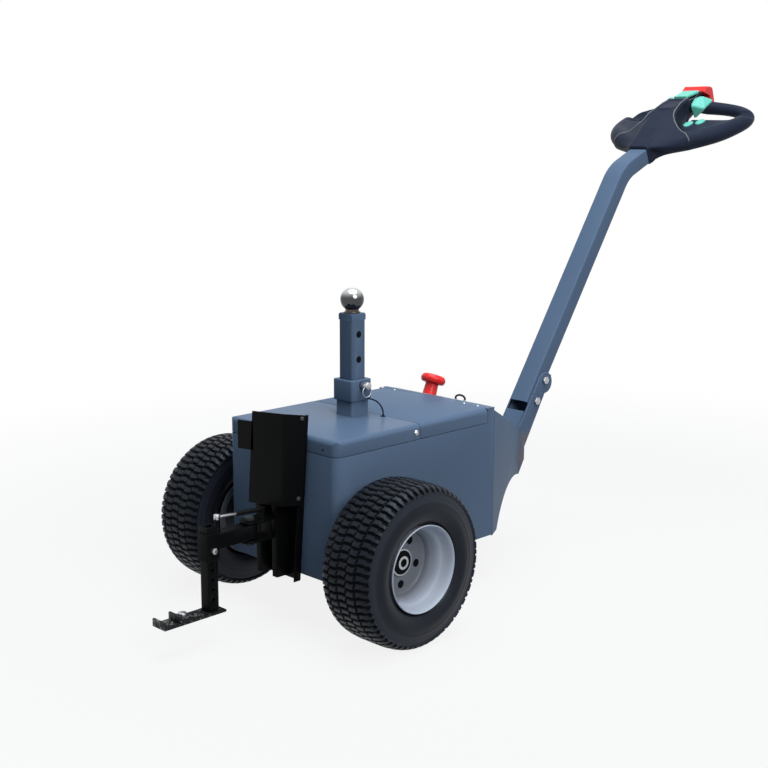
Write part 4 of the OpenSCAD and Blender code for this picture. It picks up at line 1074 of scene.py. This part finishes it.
def head_frame():
    """The head's front lower corner and its length, half width and rise."""
    head = tube_ends()[2]
    far = box("reverse_button")[1]
    return head, np.array([far[0] - head[0], HEAD_HALF_WIDTH, far[2] - head[2]])


def head_at(shares):
    """Places on the head from shares of its length, half width and rise."""
    origin, reach = head_frame()
    return origin + np.asarray(shares, float) * reach


def bars_distance(points, path, radii):
    """Distance to a chain of round bars whose radius runs evenly between the path's points."""
    best = np.full(points.shape[:-1], np.inf, np.float32)
    for start, end, thick, thin in zip(path[:-1], path[1:], radii[:-1], radii[1:]):
        leg = (end - start).astype(np.float32)
        gap = points - start.astype(np.float32)
        share = np.clip(gap @ leg / float(leg @ leg), 0, 1)
        near = gap - share[..., None] * leg
        np.minimum(best, np.sqrt((near * near).sum(-1)) - (thick + (thin - thick) * share), out=best)
    return best


def triangle_distance(points, a, b, c):
    """Distance to a flat triangle: to its plane inside it, and else to its nearest edge."""
    normal = unit(np.cross(b - a, c - a))
    edges = bars_distance(points, np.array([a, b, c, a]), np.zeros(4))
    signs = [(points - p) @ np.cross(normal, q - p) for p, q in ((a, b), (b, c), (c, a))]
    within = (signs[0] >= 0) & (signs[1] >= 0) & (signs[2] >= 0)
    return np.where(within, np.abs((points - a) @ normal), edges)


def spine_distance(points):
    """Distance to the spine: a rounded four-sided section carried along the line midway up it."""
    origin, reach = head_frame()
    flat = reach[[0, 2]]
    top = origin[[0, 2]] + np.array(SPINE_TOP_SHARES) * flat
    low = origin[[0, 2]] + np.array(SPINE_LOW_SHARES) * flat
    centre = (top + low) / 2
    side_view = points[..., [0, 2]]
    best = np.full(points.shape[:-1], np.inf)
    station = np.zeros(points.shape[:-1])
    for k, (start, end) in enumerate(zip(centre[:-1], centre[1:])):
        leg = end - start
        share = np.clip((side_view - start) @ leg / (leg @ leg), 0, 1)
        away = np.linalg.norm(side_view - start - share[..., None] * leg, axis=-1)
        station = np.where(away < best, k + share, station)
        best = np.minimum(best, away)
    order = np.arange(len(top))

    def at_station(values):
        return np.interp(station, order, values)

    up = np.stack([at_station((top - low)[:, 0]), at_station((top - low)[:, 1])], -1)
    half = np.linalg.norm(up, axis=-1) / 2
    up = up / (2 * half[..., None])
    gap = side_view - np.stack([at_station(centre[:, 0]), at_station(centre[:, 1])], -1)
    height = (gap * up).sum(-1)
    past = np.abs(gap[..., 0] * up[..., 1] - gap[..., 1] * up[..., 0])
    share = np.clip(height / half * 0.5 + 0.5, 0, 1)
    low_width = at_station(np.array(SPINE_LOW_WIDTH_SHARES) * HEAD_HALF_WIDTH)
    width = low_width + share * (at_station(np.array(SPINE_TOP_WIDTH_SHARES) * HEAD_HALF_WIDTH) - low_width)
    seam = head_at(SEAM_SHARES)
    behind = points[..., 0] - np.interp(points[..., 2], seam[:, 2], seam[:, 0])
    width = width - POCKET * smoothstep(0, 0.003, behind)
    inset = np.stack([np.abs(points[..., 1]) - width, np.abs(height) - half, past], -1) + SPINE_EDGE
    inset[..., 2] -= SPINE_EDGE
    outside = np.sqrt((np.maximum(inset, 0) ** 2).sum(-1))
    return outside + np.minimum(inset[..., :2].max(-1), 0) - SPINE_EDGE


def flank_distance(points):
    """Distance to the fairing from the front panel's edge to the seam, a strip of thick triangles."""
    inner = head_at(PANEL_EDGE_SHARES) - FLANK_RADIUS * FLANK_NORMAL
    outer = head_at(SEAM_SHARES[: len(inner)]) - FLANK_RADIUS * FLANK_NORMAL
    best = np.full(points.shape[:-1], np.inf)
    for k in range(len(inner) - 1):
        for corners in ((inner[k], outer[k], outer[k + 1]), (inner[k], outer[k + 1], inner[k + 1])):
            best = np.minimum(best, triangle_distance(points, *corners))
    return best - FLANK_RADIUS


def head_distance(points):
    """Distance to the whole moulded head: spine and sleeve, two bars and two palm wings, joined by fillets."""
    points = points.copy()
    points[..., 1] = np.abs(points[..., 1])
    loop = smooth_path(LOOP_SHARES, 4)
    bars = bars_distance(points, head_at(loop[:, :3]), loop[:, 3] * BAR)
    wing = head_at(WING_SHARES)
    palm = np.minimum(triangle_distance(points, *wing[[0, 1, 2]]), triangle_distance(points, *wing[[0, 2, 3]]))
    field = soft_union(spine_distance(points), flank_distance(points), FLANK_FILLET)
    field = soft_union(field, palm - WING_RADIUS, WING_FILLET)
    field = soft_union(field, bars, BAR_FILLET)
    head = tube_ends()[2]
    along, back = slope_axes(UPPER_SLOPE)
    heel = head + HEEL_RUN * along + HEEL_DEPTH_SHARE * TUBE_DEPTH * back
    heel = heel + np.array((0, TUBE_WIDTH / 2 - HEEL_INSET, 0))
    heel = triangle_distance(points, heel, wing[0], wing[1]) - HEEL_RADIUS
    field = soft_union(field, heel, HEEL_FILLET)
    gap = points - head
    run, depth = gap @ along, gap @ back
    half = SLEEVE_LENGTH / 2
    sleeve = (
        np.abs(run - half) - half,
        np.abs(depth - TUBE_DEPTH / 2) - TUBE_DEPTH / 2 - SLEEVE_WALL,
        points[..., 1] - TUBE_WIDTH / 2 - SLEEVE_WALL,
    )
    sleeve = np.stack(sleeve, -1) + SLEEVE_EDGE
    sleeve = np.linalg.norm(np.maximum(sleeve, 0), axis=-1) + np.minimum(sleeve.max(-1), 0) - SLEEVE_EDGE
    field = soft_union(field, sleeve, HEEL_FILLET)
    paddle = head_at(RECESS_CENTRE_SHARES)
    round_gap = np.hypot(points[..., 0] - paddle[0], points[..., 2] - paddle[2]) - RECESS_RADIUS
    recess = np.maximum(round_gap, RECESS_HALF_WIDTH - points[..., 1])
    field = np.maximum(field, -recess)
    return np.maximum(field, -run)


def head_grid():
    """The head's distance on a grid over its left half, mirrored to the right."""
    origin, reach = head_frame()
    step = sizes().head_voxel
    pad = 4 * step
    low = origin + np.array([-0.02, 0, -0.06]) - pad
    high = origin + reach * (1.02, 1.02, 1.0) + pad
    counts = np.ceil((high - low) / step).astype(int)
    axes = [low[k] + np.arange(counts[k]) * step for k in (0, 2)]
    across = (np.arange(counts[1] + 8) + 0.5) * step
    x, y, z = np.meshgrid(axes[0], across, axes[1], indexing="ij")
    half = head_distance(np.stack([x, y, z], -1).astype(np.float32))
    values = np.concatenate([half[:, ::-1], half], 1)
    return values, np.array([low[0], -across[-1], low[2]]), step


def drop_on(points, direction, reach):
    """Points moved along a direction onto the head's surface, by steps of most of the distance left."""
    direction = np.asarray(direction, float)
    placed = points
    for _ in range(60):
        placed = placed + 0.8 * head_distance(placed.astype(np.float32))[:, None] * direction
    if np.linalg.norm(placed - points, axis=-1).max() > reach:
        raise RuntimeError("a line on the tiller head misses its surface")
    return placed


def seam_patches():
    """Raised seam on both flanks: a thin round bar laid on the head's surface along the S-curve."""
    line = smooth_path(SEAM_SHARES, 8)
    patches = []
    for side in (-1, 1):
        outward = FLANK_NORMAL * (1, side, 1)
        path = drop_on(head_at(line * (1, side, 1)) + 0.02 * outward, -outward, 0.06)
        patches.append(sweep(circle(SEAM_RADIUS, 8), path, outward))
    return patches


class TUG_OT_tiller_head(bpy.types.Operator):
    """Builds the moulded tiller head with its two hand loops"""

    bl_idname = "tug.tiller_head"
    bl_label = "Tiller head"

    def execute(self, context):
        shell = [skin(*head_grid())]
        piece = build(
            "tiller_head_shell", shell, "chassis", head_plastic(), ("tiller_head",), 60
        )
        even = piece.modifiers.new("even", "SMOOTH")
        even.factor = 0.5
        even.iterations = 3
        build("tiller_head_seam", seam_patches(), "chassis", seam_highlight_plastic(), (), 60)
        return {"FINISHED"}


PADDLE_SHARES = [
    (0.62, 0.15, 0.687), (0.688, 0.15, 0.805), (0.704, 0.25, 0.848), (0.647, 0.36, 0.632), (0.665, 0.19, 0.467),
    (0.796, 0.36, 0.78), (0.80, 0.15, 0.72), (0.74, 0.15, 0.58),
]
PADDLE_EDGE = 0.004
THUMB_SHARES = [(0.48, 0.28), (0.525, 0.42)]
THUMB_TILT = math.radians(20)
THUMB_HALF_LENGTH, THUMB_HALF_WIDTH, THUMB_RISE, THUMB_SINK = 0.0185, 0.0115, 0.0045, 0.008
HORN_SHARES = [(0.61, 0.826), (0.70, 0.876), (0.785, 0.922)]
HORN_WIDTH, HORN_THICKNESS, HORN_SINK = 0.044, 0.008, 0.0026
RED_SHARES = [(0.80, 0.905), (0.845, 1.0), (0.945, 1.0), (1.0, 0.735), (0.925, 0.735), (0.905, 0.86)]
RED_RADII = [0.004, 0.007, 0.010, 0.005, 0.004, 0.004]
RED_WIDTH = 0.070


def paddle_mesh():
    """Both butterfly paddles: the flat faces round the corners of a wing on either side of the spine."""
    mesh = bpy.data.meshes.new("drive_paddle_wings")
    made = bmesh.new()
    for side in (-1, 1):
        corners = bpy.data.meshes.new("corners")
        corners.vertices.add(len(PADDLE_SHARES))
        places = head_at(np.array(PADDLE_SHARES) * (1, side, 1))
        corners.vertices.foreach_set("co", places.astype(np.float32).ravel())
        work = bmesh.new()
        work.from_mesh(corners)
        bmesh.ops.convex_hull(work, input=work.verts)
        bmesh.ops.dissolve_limit(work, angle_limit=math.radians(14), verts=work.verts, edges=work.edges)
        bmesh.ops.recalc_face_normals(work, faces=work.faces)
        work.to_mesh(corners)
        work.free()
        made.from_mesh(corners)
        bpy.data.meshes.remove(corners)
    made.to_mesh(mesh)
    made.free()
    return mesh


def button_patch(share, side):
    """Oval thumb button: a dome over an ellipse that stands on the loop bar's surface."""
    start = head_at((share[0], side * share[1], 0.75))[None]
    foot = drop_on(start, (0, 0, -1), 0.12)[0]
    axis = np.array([-math.sin(THUMB_TILT), 0, math.cos(THUMB_TILT)])
    along = np.array([math.cos(THUMB_TILT), 0, math.sin(THUMB_TILT)])
    turn = np.arange(32)[:, None] * 2 * math.pi / 32
    rise = np.concatenate([[-THUMB_SINK], np.linspace(0, math.pi / 2, 9)])[None]
    width = np.where(rise < 0, 1, np.cos(np.maximum(rise, 0)) ** 0.5)
    height = np.where(rise < 0, -THUMB_SINK, THUMB_RISE * np.sin(np.maximum(rise, 0)))
    points = (
        foot
        + (THUMB_HALF_LENGTH * np.cos(turn) * width)[..., None] * along
        + (THUMB_HALF_WIDTH * np.sin(turn) * width)[..., None] * AXES[1]
        + (height + 0 * turn)[..., None] * axis
    )
    return points, grid_faces(32, 10, wrap_rows=True)


def middle_plane(shares):
    """Places in the head's middle plane from shares of its length and rise."""
    shares = np.array(shares)
    return head_at(np.stack([shares[:, 0], 0 * shares[:, 0], shares[:, 1]], -1))


def horn_patch():
    """Horn pad: a rounded strip along the spine's crest."""
    path = middle_plane(HORN_SHARES) - (0, 0, HORN_SINK)
    section = rectangle(HORN_WIDTH, HORN_THICKNESS, 0.003, 4)
    return sweep(section, path, (-0.4, 0, 0.9), (0.86, 1.0, 1.08))


def red_patch():
    """Red reverse button: its side outline with round corners, carried across the head."""
    outline = ring_of(middle_plane(RED_SHARES)[:, [0, 2]], RED_RADII, 6)
    return prism(outline, -RED_WIDTH / 2 * AXES[1], AXES[0], AXES[2], AXES[1], RED_WIDTH, 0.003)


class TUG_OT_head_controls(bpy.types.Operator):
    """Builds the drive paddles, thumb buttons, horn pad and red reverse button"""

    bl_idname = "tug.head_controls"
    bl_label = "Head controls"

    def execute(self, context):
        mesh = paddle_mesh()
        paddles = settle(
            mesh, "drive_paddle_wings", "chassis", green_plastic(), ("drive_paddles",), 180
        )
        round_edges(paddles, PADDLE_EDGE, 4, "NONE")
        buttons = [button_patch(share, side) for side in (-1, 1) for share in THUMB_SHARES]
        buttons.append(horn_patch())
        replaced = ("thumb_buttons",)
        build("thumb_button_domes", buttons, "chassis", green_plastic(), replaced, 50)
        replaced = ("reverse_button",)
        build("reverse_button_cap", [red_patch()], "chassis", red_plastic(), replaced, 35)
        return {"FINISHED"}


# Tow post


POST_HOLE_HEIGHTS = (0.5741, 0.5212)
POST_HOLE_RADIUS = 0.0072
BALL_FLAT = 0.009
BALL_NECK = 0.0145


def tube_half(post):
    """Half width of the post's tube, measured on the band from 4 to 12 cm below its top."""
    places = vertex_places(post)
    band = np.abs(places[:, 2] - box("tow_post")[1][2] + 0.08) < 0.04
    return float(np.abs(places[band, 1]).max())


def ball_patch():
    """Tow ball with a flat crown, on a neck with a small foot ring."""
    low, high = box("tow_ball")
    centre = middle("tow_ball")
    radius = (high[0] - low[0]) / 2
    ball_z = high[2] - math.sqrt(radius**2 - BALL_FLAT**2)
    turn = np.linspace(math.pi - math.asin(BALL_NECK / radius), math.asin(BALL_FLAT / radius), 40)
    sphere = np.stack([radius * np.sin(turn), ball_z + radius * np.cos(turn)], -1)
    foot = low[2]
    ring = BALL_NECK + 0.003
    base = rounded([(0, foot), (ring, foot), (ring, foot + 0.003), (BALL_NECK, foot + 0.0035)], [0.001, 0.001])
    profile = np.concatenate([base, sphere, [(BALL_FLAT * 0.9, high[2]), (0, high[2])]])
    return lathe(profile, (centre[0], centre[1], 0), AXES[2], 72)


class TUG_OT_tow_post(bpy.types.Operator):
    """Finishes the tow post, its socket and collar, shows its cross holes as dark discs of painted shade and
    builds the ball
    """

    bl_idname = "tug.tow_post"
    bl_label = "Tow post"

    def execute(self, context):
        dress("post_socket", body_paint(), sizes().edge)
        dress("post_collar", body_paint(), 0.0022, 3)
        post = dress("tow_post", body_paint(), 0.0016, 3, True)
        centre = middle("tow_post")
        half = tube_half(post)
        slim = np.array((half, half, FAR))
        reshape(post, lambda places: centre + np.clip(places - centre, -slim, slim))
        # Painted shade: very low black domes stand for the shade inside the cross holes.
        holes = [
            dome_patch((centre[0], side * half, height), side * AXES[1], POST_HOLE_RADIUS, 0.0004)
            for side in (-1, 1) for height in POST_HOLE_HEIGHTS
        ]
        build("tow_post_painted_hole_shade", holes, "chassis", black_paint())
        build("tow_ball_chromed", [ball_patch()], "chassis", chrome(), ("tow_ball",))
        return {"FINISHED"}


class TUG_OT_tow_pin(bpy.types.Operator):
    """Builds the cross pin with its pull ring and the stiff retaining wire"""

    bl_idname = "tug.tow_pin"
    bl_label = "Tow pin"

    def execute(self, context):
        dress("hitch_pin", zinc(), sizes().block_edge)
        dress("retaining_wire", head_plastic(), 0.0003)
        return {"FINISHED"}


# Console fittings


PANEL_SLOPE = math.radians(21.6)
KNOB_PLACE = (0.020, 0.050)
KNOB_CORNERS = [
    (0, 0), (0.0195, 0), (0.0195, 0.004), (0.0165, 0.0045), (0.0150, 0.036), (0.0265, 0.0365),
    (0.0295, 0.046), (0.0255, 0.0555), (0.008, 0.0570), (0, 0.0570),
]
KNOB_RADII = [0.001, 0.0012, 0.004, 0.003, 0.006, 0.008, 0.008, 0.006]
KEY_PLACE = (0.018, -0.046)
KEY_BEZEL_CORNERS = [
    (0, 0), (0.012, 0), (0.012, 0.006), (0.009, 0.008), (0.0075, 0.008), (0.007, 0.0065), (0, 0.0065),
]
KEY_BEZEL_RADII = [0, 0.0015, 0.001, 0.0005, 0.0003]
KEY_BOW_RADIUS = 0.0108
KEY_BOW_HEIGHT = 0.0135
KEY_STEM_HEIGHTS = (0.006, 0.0095)


def on_panel(run, side):
    """Place on the sloping control panel and the panel's normal."""
    low, high = box("console")
    place = np.array([low[0] + run, side, high[2] - run * math.tan(PANEL_SLOPE)])
    return place, np.array([math.sin(PANEL_SLOPE), 0, math.cos(PANEL_SLOPE)])


class TUG_OT_console_fittings(bpy.types.Operator):
    """Builds the red emergency disconnect and the key switch"""

    bl_idname = "tug.console_fittings"
    bl_label = "Console fittings"

    def execute(self, context):
        knob = lathe(rounded(KNOB_CORNERS, KNOB_RADII, 6), *on_panel(*KNOB_PLACE), 56)
        replaced = ("emergency_disconnect",)
        build("emergency_disconnect_knob", [knob], "chassis", red_plastic(), replaced)
        place, normal = on_panel(*KEY_PLACE)
        across = np.cross(normal, AXES[1])
        facing = (AXES[1] - across) / math.sqrt(2)
        bow = ring_path(facing, KEY_BOW_RADIUS, 36)
        bow = place + normal * KEY_BOW_HEIGHT + bow - 0.3 * (bow @ normal)[:, None] * normal
        stem = np.stack([place + normal * height for height in KEY_STEM_HEIGHTS])
        patches = [
            lathe(rounded(KEY_BEZEL_CORNERS, KEY_BEZEL_RADII), place, normal, 40),
            sweep(rectangle(0.0045, 0.0036, 0.0012, 3), bow, facing, closed=True),
            sweep(rectangle(0.008, 0.0036, 0.0010, 3), stem, facing),
        ]
        build("key_switch_with_key", patches, "chassis", head_plastic(), ("key_switch",))
        return {"FINISHED"}


# Mast and hitch


GUARD_TOP = [(-0.6792, 0.019, 0.444), (-0.6792, -0.075, 0.452), (-0.6342, -0.093, 0.445)]
GUARD_FOOT = [(-0.6792, 0.035, 0.253), (-0.6792, -0.069, 0.265), (-0.6342, -0.0785, 0.260)]
GUARD_SHEET = 0.002
GUARD_TAB = [(0.017, 0.364), (0.066, 0.360), (0.066, 0.419), (0.017, 0.423)]
GUARD_SCREWS = [(-0.6442, -0.0905, 0.440), (-0.6442, -0.0775, 0.276)]
GUARD_SCREW_AXIS = (-0.39, -0.92, 0)
PLATE_CUT_HEIGHT = 0.178
FLANGE_TOP = (-0.086, 0.444)
FLANGE_FOOT = -0.0575
FLANGE_ROOT = -0.055
COVER_SCREW_INSET = (0.011, 0.017)
COVER_HOLE_PLACES = (0.127, 0.010)
LID_RIVET_INSET = 0.019
LID_RIVETS = (0.160, 0.120, -0.094, -0.134)


def guard_patch():
    """Folded guard sheet: its fold line at the top and at the foot, and both lines set in by the sheet."""
    top, foot = (rounded(line, [0.003], 6) for line in (GUARD_TOP, GUARD_FOOT))
    tangent = np.gradient(top, axis=0)
    inward = np.stack([-tangent[:, 1], tangent[:, 0], 0 * tangent[:, 0]], -1)
    inward = GUARD_SHEET * unit(inward)
    ring = np.stack([foot, top, top + inward, foot + inward], 1)
    ends = [np.repeat(row.mean(0)[None], 4, 0)[None] for row in (ring[0], ring[-1])]
    points = np.concatenate([ends[0], ring, ends[1]])
    return points, grid_faces(len(points), 4, wrap_columns=True)


class TUG_OT_mast(bpy.types.Operator):
    """Finishes the mast's plate and rails and builds the folded guard on its leaning flange"""

    bl_idname = "tug.mast"
    bl_label = "Mast"

    def execute(self, context):
        dress("mast_rails", black_paint(), sizes().block_edge)
        low, high = box("mast_plate")

        def sheet(outline, start, thickness, edge):
            return prism(outline, start * AXES[0], AXES[1], AXES[2], AXES[0], thickness, edge)

        tab = sheet(GUARD_TAB, GUARD_TOP[0][0], GUARD_SHEET, 0.0004)
        guard = [guard_patch(), tab]
        build("mast_cover_folded", guard, "chassis", black_paint(), ("mast_cover",), 30)
        foot = (FLANGE_FOOT, low[2])
        plate = [(high[1], low[2]), foot, (low[1], PLATE_CUT_HEIGHT), (low[1], high[2]), high[1:]]
        plate = sheet(plate, low[0], high[0] - low[0], 0.0006)
        build("mast_plate_cut", [plate], "chassis", black_paint(), ("mast_plate",), 30)
        web = sheet([(FLANGE_ROOT, low[2]), foot, FLANGE_TOP, (FLANGE_ROOT, high[2])], low[0], 0.004, 0.0005)
        line = np.stack([(low[0] - 0.006, *end) for end in (foot, FLANGE_TOP)])
        flange = sweep(rectangle(0.016, 0.003, 0.0006, 3), line, AXES[1])
        build("mast_near_flange", [web, flange], "chassis", black_paint(), (), 30)
        heads = [dome_patch(place, GUARD_SCREW_AXIS, 0.0044, 0.0024) for place in GUARD_SCREWS]
        build("mast_cover_screws", heads, "chassis", cast_iron())
        return {"FINISHED"}


class TUG_OT_cover_fasteners(bpy.types.Operator):
    """Builds the cover's skirt screws, dark discs of painted shade in its two small front holes, and the four
    rivets of the lid's hinge
    """

    bl_idname = "tug.cover_fasteners"
    bl_label = "Cover fasteners"

    def execute(self, context):
        low, high = box("front_cover")
        along, below = COVER_SCREW_INSET
        screws = [
            dome_patch((high[0] - along, side * high[1], high[2] - below), side * AXES[1], 0.0062, 0.0032)
            for side in (-1, 1)
        ]
        build("front_cover_screws", screws, "chassis", zinc())
        # Painted shade: very low dark domes stand for the shade inside two small holes in the cover's front.
        across, above = COVER_HOLE_PLACES
        hole_shades = [
            dome_patch((low[0], side * across, low[2] + above), -AXES[0], 0.0028, 0.0006) for side in (-1, 1)
        ]
        build("front_cover_painted_holes", hole_shades, "chassis", head_plastic())
        edge = box("rear_lid")[1] - (LID_RIVET_INSET, 0, 0)
        rivets = [dome_patch((edge[0], across, edge[2]), AXES[2], 0.0030, 0.0014) for across in LID_RIVETS]
        build("rear_lid_rivets", rivets, NODES["rear_lid"]["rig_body"], zinc())
        return {"FINISHED"}


class TUG_OT_hitch(bpy.types.Operator):
    """Finishes the lift carriage, the hitch arm, its leg, foot, jaw, damper and fasteners"""

    bl_idname = "tug.hitch"
    bl_label = "Hitch"

    def execute(self, context):
        for node in ("lift_carriage", "hitch_arm", "leg_tube"):
            dress(node, black_paint(), sizes().block_edge)
        for node in ("foot_bar", "jaw_plate"):
            dress(node, worn_black(), sizes().block_edge)
        dress("damper_cylinder", black_paint(), 0.0006)
        dress("pivot_bolt", cast_iron(), 0.0007)
        for node in ("hitch_fasteners", "damper_rod"):
            dress(node, zinc(), 0.0007)
        return {"FINISHED"}


# Underside


class TUG_OT_underside(bpy.types.Operator):
    """Finishes the castor, the drive unit and the batteries"""

    bl_idname = "tug.underside"
    bl_label = "Underside"

    def execute(self, context):
        for node in ("castor_plate", "castor_fork"):
            dress(node, zinc(), sizes().block_edge)
        dress("castor_wheel", castor_rubber(), sizes().block_edge)
        dress("drive_unit", cast_iron(), sizes().edge)
        dress("batteries", battery_plastic(), sizes().edge)
        return {"FINISHED"}


# Stage


CAMERA_PLACE = (-2.2130, -1.8703, 0.9686)
CAMERA_YAW = math.radians(44.76)
CAMERA_DIP = math.radians(10.98)
CAMERA_ROLL = math.radians(0.19)
CAMERA_LENS = 58.48
FLOOR_RADII = (0.0, 1.0, 3.0, 14.0)
FLOOR_DROP = 0.0006
LAMP_TARGET = np.array((0, 0, 0.4))
LAMPS = (
    ("key", (-1.1, -3.4, 2.5), 2.6, 116.0, (1.0, 0.99, 0.97)),
    ("top", (-0.3, -0.3, 3.6), 3.2, 165.0, (0.88, 0.96, 1.0)),
    ("front", (-3.4, -0.8, 1.8), 2.4, 1.5, (0.9, 0.95, 1.0)),
)


def placed(right, up, back, place):
    """Matrix of an object that looks against its back vector."""
    turned = np.eye(4)
    turned[:3, :4] = np.stack([right, up, back, place], -1)
    return Matrix(turned.tolist())


def camera_matrix():
    """The camera's place and turn: looking along yaw and dip, rolled about its own axis."""
    ahead = np.array(
        [
            math.cos(CAMERA_YAW) * math.cos(CAMERA_DIP),
            math.sin(CAMERA_YAW) * math.cos(CAMERA_DIP),
            -math.sin(CAMERA_DIP),
        ]
    )
    level = np.array([math.sin(CAMERA_YAW), -math.cos(CAMERA_YAW), 0])
    upright = np.cross(level, ahead)
    right = math.cos(CAMERA_ROLL) * level + math.sin(CAMERA_ROLL) * upright
    up = math.cos(CAMERA_ROLL) * upright - math.sin(CAMERA_ROLL) * level
    return placed(right, up, -ahead, CAMERA_PLACE)


def seen_directly(start):
    """One for rays that show the backdrop: from the camera, or by way of gloss or glass."""
    camera, gloss, glass = (
        start.node("ShaderNodeLightPath", output=f"Is {kind} Ray")
        for kind in ("Camera", "Glossy", "Transmission")
    )
    return start.maths("MAXIMUM", start.maths("MAXIMUM", camera, gloss), glass)


def floor_material():
    """Pale floor that keeps the shadow near the vehicle and fades to the white backdrop around it."""
    material = bpy.data.materials.new("stage_floor")
    material.use_nodes = True
    tree = material.node_tree
    tree.nodes.clear()
    start = Wire(tree)
    coords = start.node("ShaderNodeTexCoord", output="Object")
    distance = start.node("ShaderNodeVectorMath", {"operation": "LENGTH"}, {0: coords}, "Value")
    far = distance.between(0.9, 2.4)
    plain = start.node("ShaderNodeBsdfDiffuse", {}, {"Color": (0.38, 0.39, 0.40, 1), "Roughness": 1.0})
    bright = start.node("ShaderNodeEmission", {}, {"Color": (1, 1, 1, 1), "Strength": 1.0})
    share = seen_directly(start) * (far * 0.14 + 0.86)
    mixed = start.node("ShaderNodeMixShader", {}, {0: share, 1: plain, 2: bright})
    start.node("ShaderNodeOutputMaterial", {}, {"Surface": mixed})
    return material


def backdrop():
    """World that looks white and lights the vehicle with a faint sky."""
    world = bpy.data.worlds.new("backdrop")
    world.use_nodes = True
    tree = world.node_tree
    tree.nodes.clear()
    start = Wire(tree)
    shown = seen_directly(start)
    sky = start.node("ShaderNodeBackground", {}, {"Color": (0.86, 0.93, 1.0, 1), "Strength": 0.11})
    white = start.node("ShaderNodeBackground", {}, {"Color": (1, 1, 1, 1), "Strength": 1.0})
    mixed = start.node("ShaderNodeMixShader", {}, {0: shown, 1: sky, 2: white})
    start.node("ShaderNodeOutputWorld", {}, {"Surface": mixed})
    return world


class TUG_OT_stage(bpy.types.Operator):
    """Sets the floor, the white backdrop, the soft lights and the camera"""

    bl_idname = "tug.stage"
    bl_label = "Stage"

    def execute(self, context):
        scene = context.scene
        scene.view_settings.view_transform = "Standard"
        disc = lathe([(radius, -FLOOR_DROP) for radius in FLOOR_RADII], (0, 0, 0), AXES[2], 64)
        floor = bpy.data.objects.new("floor", closed_mesh("floor", [disc]))
        floor.data.materials.append(floor_material())
        scene.collection.objects.link(floor)
        scene.world = backdrop()
        for name, place, width, power, tint in LAMPS:
            data = bpy.data.lights.new(name, "AREA")
            data.shape = "DISK"
            data.size = width
            data.energy = power
            data.color = tint
            lamp = bpy.data.objects.new(name, data)
            back, first, second = square_to(np.array(place) - LAMP_TARGET)
            lamp.matrix_world = placed(first, second, back, place)
            scene.collection.objects.link(lamp)
        data = bpy.data.cameras.new("camera")
        data.lens = CAMERA_LENS
        data.sensor_width = 36.0
        camera = bpy.data.objects.new("camera", data)
        camera.matrix_world = camera_matrix()
        scene.collection.objects.link(camera)
        scene.camera = camera
        return {"FINISHED"}


OPERATORS = (
    TUG_OT_tyres, TUG_OT_rims, TUG_OT_body, TUG_OT_tiller, TUG_OT_tiller_head, TUG_OT_head_controls,
    TUG_OT_tow_post, TUG_OT_tow_pin, TUG_OT_console_fittings, TUG_OT_mast, TUG_OT_cover_fasteners,
    TUG_OT_hitch, TUG_OT_underside, TUG_OT_stage,
)


class TUG_PT_looks(bpy.types.Panel):
    """Lists the tug's colours, sizes and pieces"""

    bl_idname = "TUG_PT_looks"
    bl_label = "Baggage tug"
    bl_space_type = "VIEW_3D"
    bl_region_type = "UI"
    bl_category = "Tug"

    def draw(self, context):
        for group in (context.scene.tug_colours, context.scene.tug_sizes):
            for key in group.__annotations__:
                self.layout.prop(group, key)
        for operator in OPERATORS:
            self.layout.operator(operator.bl_idname)


CLASSES = (TugColours, TugSizes, *OPERATORS, TUG_PT_looks)


def register():
    for item in CLASSES:
        bpy.utils.register_class(item)
    bpy.types.Scene.tug_colours = PointerProperty(type=TugColours)
    bpy.types.Scene.tug_sizes = PointerProperty(type=TugSizes)


def unregister():
    del bpy.types.Scene.tug_sizes
    del bpy.types.Scene.tug_colours
    for item in reversed(CLASSES):
        bpy.utils.unregister_class(item)


def main():
    register()
    for operator in OPERATORS:
        group, name = operator.bl_idname.split(".")
        getattr(getattr(bpy.ops, group), name)()


if __name__ == "__main__":
    main()
